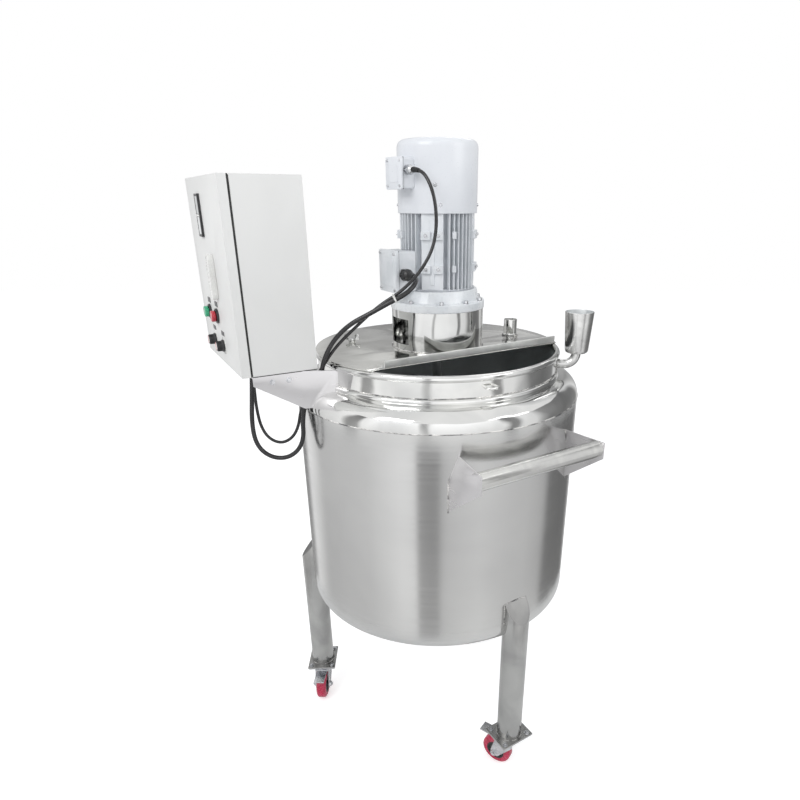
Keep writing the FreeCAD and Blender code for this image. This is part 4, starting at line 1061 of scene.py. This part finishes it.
# At each quarter turn: a pad with a rib down its middle, and two rows of paired lugs with a stud beside
PAD_HALF = 24.0
PAD_OUT = 82.0
STUD_TURN = 33.0
LUG_OUT = 89.0
LUG_HALF = 10.5
LUG_RISE = 9.0
LUG_ACROSS = (-14, 14)
LUG_HEIGHTS = (48, 118)
pads = []
lug_spots = []
for index in range(4):
    matrix = turned(PAD_BEARING + index * 90)
    stud = turned(PAD_BEARING + index * 90 + STUD_TURN)
    facing = matrix @ Vector((0, -1, 0))
    pads.append(slab((-PAD_HALF, -PAD_OUT, fin_low), (PAD_HALF, -CORE_R + 14, fin_high), matrix))
    pads.append(slab((-5, -PAD_OUT - 2, fin_low + 12), (5, -PAD_OUT + 2, fin_high - 12), matrix))
    for height in LUG_HEIGHTS:
        low, high = FRAME_LOW + height - LUG_RISE, FRAME_LOW + height + LUG_RISE
        for x in LUG_ACROSS:
            pads.append(slab((x - LUG_HALF, -LUG_OUT, low), (x + LUG_HALF, -75, high), matrix))
            pads.append(slab((-4, -90, low + 2), (4, -82, high - 1), stud))
            lug_spots.append((matrix @ Vector((x, -LUG_OUT, FRAME_LOW + height)), facing))
piece("motor_pads", joined(pads), "motor_paint", rounding=1.1)
fasteners("lug_screws", lug_spots, 6.5, 3, 8.5)
cowl_inside = COWL_R - COWL_WALL
cowl_under = COWL_TOP - COWL_WALL
slots = [slab((-4, -66, COWL_TOP - 60), (4, -22, COWL_TOP + 20), turned(i * 30)) for i in range(12)]
round_piece(
    "cowl_cap",
    (
        (COWL_R, FRAME_HIGH), (COWL_R, COWL_TOP), (0.0, COWL_TOP),
        (0.0, cowl_under), (cowl_inside, cowl_under), (cowl_inside, FRAME_HIGH),
    ),
    (0.8, 18, 0, 0, 15.5, 0), 144, "cowl_paint", stands_for=("fan_cowl",), cuts=joined(slots), rounding=0.5,
)
COWL_SCREWS = ((-3, 1430), (4, 1391), (86, 1391), (176, 1391), (-94, 1391), (120, 1451), (-126, 1451))
screw_spots = [(place(bearing, COWL_R - 0.3, z), place(bearing, 1.0)) for bearing, z in COWL_SCREWS]
fasteners("cowl_screws", screw_spots, 7, 2.6, 9, sides=16, crown=0.6)
FLANGE_BOLTS = (-35, 5, 38, 70, 110, 150, 190, 230, 270)
flange_spots = [(place(bearing, 104.2, FLANGE_TOP - 0.3), (0, 0, 1)) for bearing in FLANGE_BOLTS]
fasteners("flange_bolts", flange_spots, 10.5, 6, 12.5)


def box_dress(name, bearing, out, width, low, height, cover, rounding, screws):
    """A terminal box: rounded form, the seal behind its cover, the cover's screws and panel."""
    softened(name, rounding)
    half = width / 2
    high = low + height
    matrix = turned(bearing)
    inset = 7
    spots = []
    for x in (-half + inset, half - inset):
        for z in (low + inset, high - inset):
            spots.append((matrix @ Vector((x, -out + 0.3, z)), matrix @ Vector((0, -1, 0))))

    def flat_block(border, back, front):
        return slab((-half + border, back, low + border), (half - border, front, high - border), matrix)

    seal = flat_block(0.9, cover - out - 0.2, cover - out + 1.0)
    piece(name + "_gasket", seal, "black_rubber", slot=SLOT_OF[name])
    fasteners(name + "_screws", spots, screws, screws * 0.4, screws * 0.9, sides=16, crown=0.7)
    piece(name + "_panel", flat_block(14, -out - 0.8, -out + 1), SLOT_OF[name], rounding=0.5)


box_dress("terminal_box", -60, 129, 84, 1210, 90, 8, 1.6, 7)
box_dress("fan_terminal_box", -50, 120, 56, 1421, 62, 5, 1.4, 5.5)


def gland_dress(name, bearing, half_width, out, height, radius, length, look="black_plastic"):
    """A screwed cable gland: hexagon, ring and domed cap."""
    matrix = turned(bearing) @ standing((half_width, -out, height), (1, 0, 0))
    nut = [(radius * math.cos(TAU * i / 6) * 1.05, radius * math.sin(TAU * i / 6) * 1.05) for i in range(6)]
    cap = (
        (0.0, length * 0.40), (radius * 0.95, length * 0.40), (radius * 0.95, length * 0.78),
        (radius * 0.62, length), (0.0, length),
    )
    shapes = [prism(nut, length * 0.42, matrix), lathed(eased(cap, (0, 1, 4, 1.5, 0)), 36, matrix)]
    for i in range(12):
        rib = matrix @ turned(i * 30)
        shapes.append(slab((-1, radius * 0.9, length * 0.46), (1, radius * 1.0, length * 0.72), rib))
    piece(name + "_nut", joined(shapes), look, stands_for=(name,), rounding=0.5)


gland_dress("motor_gland", -60, 40.5, 107.5, 1250, 13, 25.5)
gland_dress("fan_gland", -50, 26.5, 104.5, 1458, 10, 19.5, "zinc_steel")


# Legs, casters and push bar
FOOT_LOW = 112.0
FOOT_HALF_X = 47.5
FOOT_HALF_Y = 40.0
FOOT_BOLTS_X = (-36, 36)
FOOT_BOLTS_Y = (-30, 30)


def leg_dress(number, bearing, spot):
    """A leg: a tube with a sloping cap, its foot plate, and the welds at both ends."""
    leg = f"leg_{number}"
    post = Matrix.Translation(spot) @ turned(bearing)
    low, high = FOOT_TOP - 1, LEG_TOP + 40
    outline = ((0, low), (LEG_R, low), (LEG_R, high), (0, high))
    slope = Matrix.Translation((0, -JACKET_R, LEG_TOP)) @ Matrix.Rotation(math.radians(LEG_SLOPE), 4, "X")
    above = slab((-200, -200, 0), (200, 60, 200), turned(bearing) @ slope)
    piece(
        f"leg_tube_{number}", lathed(outline, 96, post), "tube_steel", stands_for=(leg,), slot=SLOT_OF[leg],
        cuts=above, rounding=1.2,
    )
    foot = slab((-FOOT_HALF_X, -FOOT_HALF_Y, FOOT_LOW), (FOOT_HALF_X, FOOT_HALF_Y, FOOT_TOP), post)
    piece(f"leg_foot_{number}", foot, "tube_steel", slot=SLOT_OF[leg], rounding=0.9)
    corner = ((-5.2, 470), (-5.3, 528), (-3, 531), (0, 531.5), (3, 531), (5.3, 528), (5.2, 470))
    weld = [place(bearing + turn, JACKET_R + 0.3, z) for turn, z in corner]
    bead(f"weld_leg_{number}", weld, 3.2, 2.2, 19 + number, closed=False)
    foot_weld = circle(LEG_R + 0.6, FOOT_TOP + 0.4, 80, spot[:2])
    bead(f"weld_foot_{number}", foot_weld, 3.0, 2.2, 29 + number)


TREAD = (((25, -14), (33, -14), (40, -10), (40, 10), (33, 14), (25, 14)), (0.5, 2, 6, 6, 2, 0.5))
HUB = (
    (
        (5.05, -17), (10, -17), (10, -12), (20, -10.5), (22, -14.2), (25, -14.2),
        (25, 14.2), (22, 14.2), (20, 10.5), (10, 12), (10, 17), (5.05, 17),
    ),
    (0.5, 0.8, 1, 1, 0.8, 0.5, 0.5, 0.8, 1, 1, 0.8, 0.5),
)
PLATE_LOW = 109.0
AXLE_HALF = 26.0
for index, bearing in enumerate(LEG_BEARINGS):
    number = index + 1
    spot = place(bearing, LEG_CIRCLE_R)
    leg_dress(number, bearing, spot)
    softened(f"caster_plate_{number}", 0.9)
    softened(f"caster_fork_{number}", 0.7)
    softened(f"brake_pedal_{number}", 0.8)
    matrix = Matrix.Translation(spot) @ turned(CASTER_HEADINGS[index])
    wheel = matrix @ standing((WHEEL_TRAIL, 0, WHEEL_HEIGHT), (0, 1, 0))
    round_piece(
        f"tread_{number}", *TREAD, 72, "red_tread", wheel, body=f"wheel_{number}",
        stands_for=(f"caster_tread_{number}",),
    )
    round_piece(
        f"hub_{number}", *HUB, 60, "black_plastic", wheel, body=f"wheel_{number}", slot="zinc_steel",
        stands_for=(f"caster_hub_{number}",),
    )
    plate_turn = Matrix.Translation(spot) @ turned(bearing)
    bolts = []
    for x in FOOT_BOLTS_X:
        for y in FOOT_BOLTS_Y:
            bolts.append((plate_turn @ Vector((x, y, FOOT_TOP)), (0, 0, 1)))
            bolts.append((plate_turn @ Vector((x, y, PLATE_LOW)), (0, 0, -1)))
    fasteners(f"plate_bolts_{number}", bolts, 10, 5, 14)
    nuts = []
    for way in (1, -1):
        end = matrix @ Vector((WHEEL_TRAIL, way * AXLE_HALF, WHEEL_HEIGHT))
        nuts.append((end, matrix.to_3x3() @ Vector((0, way, 0))))
    fasteners(f"axle_nuts_{number}", nuts, 11, 3, 13, body=f"swivel_{number}")

bar_turn = turned(FRONT)
bar_matrix = bar_turn @ standing((-BAR_HALF, -BAR_OUT, BAR_Z), (1, 0, 0))
bar = lathed(wall(BAR_R, BAR_R - BAR_WALL, 0, 2 * BAR_HALF), 64, bar_matrix)
piece("push_bar", bar, "bar_steel", slot="brushed_steel", stands_for=("handle_tube",))
BRACKET_WELD = ((BAR_HALF + 3.5, 794), (BAR_HALF + 3.5, 866), (BAR_HALF - 18, 921))
for side, way in (("left", -1), ("right", 1)):
    softened(f"handle_bracket_{side}", 0.8, "sheet_steel")
    root = []
    for x, z in BRACKET_WELD:
        root.append(bar_turn @ Vector((way * x, -math.sqrt((JACKET_R + 0.4) ** 2 - x * x), z)))
    bead(f"weld_bracket_{side}", root, 3.0, 2.2, 40 + way, closed=False)

# Control cabinet, in coordinates with x into it, y across the door and z up
softened("cabinet_body", 2.4, steps=3)
softened("cabinet_door", 2.4, steps=3)
softened("door_gasket", 0.8)
softened("meter", 1.0)
softened("lock_handle", 1.2)
softened("cabinet_bracket", 1.1)
softened("start_button", 1.2)
softened("stop_button", 1.2)
cabinet = Matrix.Translation(Vector(CABINET_CORNER)) @ turned(CABINET_YAW)
BUTTON_Y = (245.0, 170.0)
BUTTON_Z = 102.0
KNOB_Y = (225.0, 140.0)
KNOB_Z = 42.0


def on_door(y, z):
    """A matrix whose Z points out of the door at a height and a distance across it."""
    return cabinet @ standing((0, y, z), (-1, 0, 0))


PANES = (("lower", 268.8, 303.3, "pale_glass"), ("upper", 308.7, 343.2, "meter_glass"))
for name, low, high, look in PANES:
    pane = slab((-4.7, 192.8, low), (-3.6, 217.2, high), cabinet)
    piece(f"meter_pane_{name}", pane, look, "door", "black_plastic", rounding=0.3)
bridge = slab((-5.2, 189, 304.2), (-4.4, 219, 307.8), cabinet)
piece("meter_bridge", bridge, "white_plastic", "door")
# Two dark strips: the upright one is the gasket line at the door's edge; the one along the side's bottom
# edge is a painted shadow where the cabinet meets its bracket
gasket_and_shadow_strips = joined([
    slab((BODY_FRONT, -0.3, -0.8), (CABINET_DEPTH, 0.8, 0.9), cabinet),
    slab((BODY_FRONT - 1.4, -0.3, 2), (BODY_FRONT + 1.0, 0.8, CABINET_HEIGHT - 2), cabinet),
])
piece("cabinet_gasket_and_painted_shadow_line", gasket_and_shadow_strips, "black_rubber")
bezel = eased(
    ((6.6, 0), (16, 0), (16, 4.6), (12.6, 4.6), (12.6, 1.1), (6.6, 1.1)), (0, 0.6, 1.0, 0.4, 0, 0)
)
bezels = [lathed(bezel, 48, on_door(y, BUTTON_Z)) for y in BUTTON_Y]
piece("button_bezels", joined(bezels), "black_plastic", "door")
plates = []
for across, low, high in ((BUTTON_Y, BUTTON_Z + 20, BUTTON_Z + 31), (KNOB_Y, KNOB_Z + 22, KNOB_Z + 31)):
    for y in across:
        plates.append(slab((-1.0, y - 13, low), (0.3, y + 13, high), cabinet))
piece("label_plates", joined(plates), "label_plate", "door", "black_plastic", rounding=0.3)
dial = eased(((6, 0), (19, 0), (19, 1.2), (6, 1.2)), (0, 0, 0.5, 0))
dials = [lathed(dial, 48, on_door(y, KNOB_Z)) for y in KNOB_Y]
piece("knob_dials", joined(dials), "white_plastic", "door")
ticks = []
for y in KNOB_Y:
    for i in range(11):
        ticks.append(slab((-0.4, -17.6, 0.9), (0.4, -14.6, 1.5), on_door(y, KNOB_Z) @ turned(i * 27 - 135)))
piece("dial_ticks", joined(ticks), "label_plate", "door", "black_plastic")
grip = eased(((0, 0.5), (13, 0.5), (13, 5), (10.5, 7), (9.6, 18), (0, 18)), (0, 0.8, 1.2, 1.5, 2, 0))
KNOB_CAP = (((0, 17.2), (8.8, 17.2), (8.8, 18.2), (0, 18.2)), (0, 0, 0.5, 0))
for name, y in zip(("speed", "mode"), KNOB_Y):
    knob = on_door(y, KNOB_Z)
    grips = [lathed(grip, 48, knob)]
    for i in range(18):
        grips.append(slab((-0.7, -11.2, 6.2), (0.7, -9.0, 15.5), knob @ turned(i * 20)))
    node_name = name + "_knob"
    piece(node_name + "_grip", joined(grips), "black_plastic", name, stands_for=(node_name,), rounding=0.4)
    round_piece(node_name + "_cap", *KNOB_CAP, 40, "white_plastic", knob, body=name)
    pointer = slab((-1.2, -8.6, 17.6), (1.2, 9.4, 18.6), knob)
    piece(node_name + "_pointer", pointer, "red_plastic", name)

# Bolts of the arm
ARM_BOLT_Z = 1050.0
arm = turned(CABINET_YAW)
arm_bolts = []
for x in (60, 95):
    spot = Vector((*CABINET_CORNER[:2], ARM_BOLT_Z)) + arm @ Vector((x, -0.2, 0))
    arm_bolts.append((spot, arm @ Vector((0, -1, 0))))
fasteners("arm_bolts", arm_bolts, 9, 4, 12)
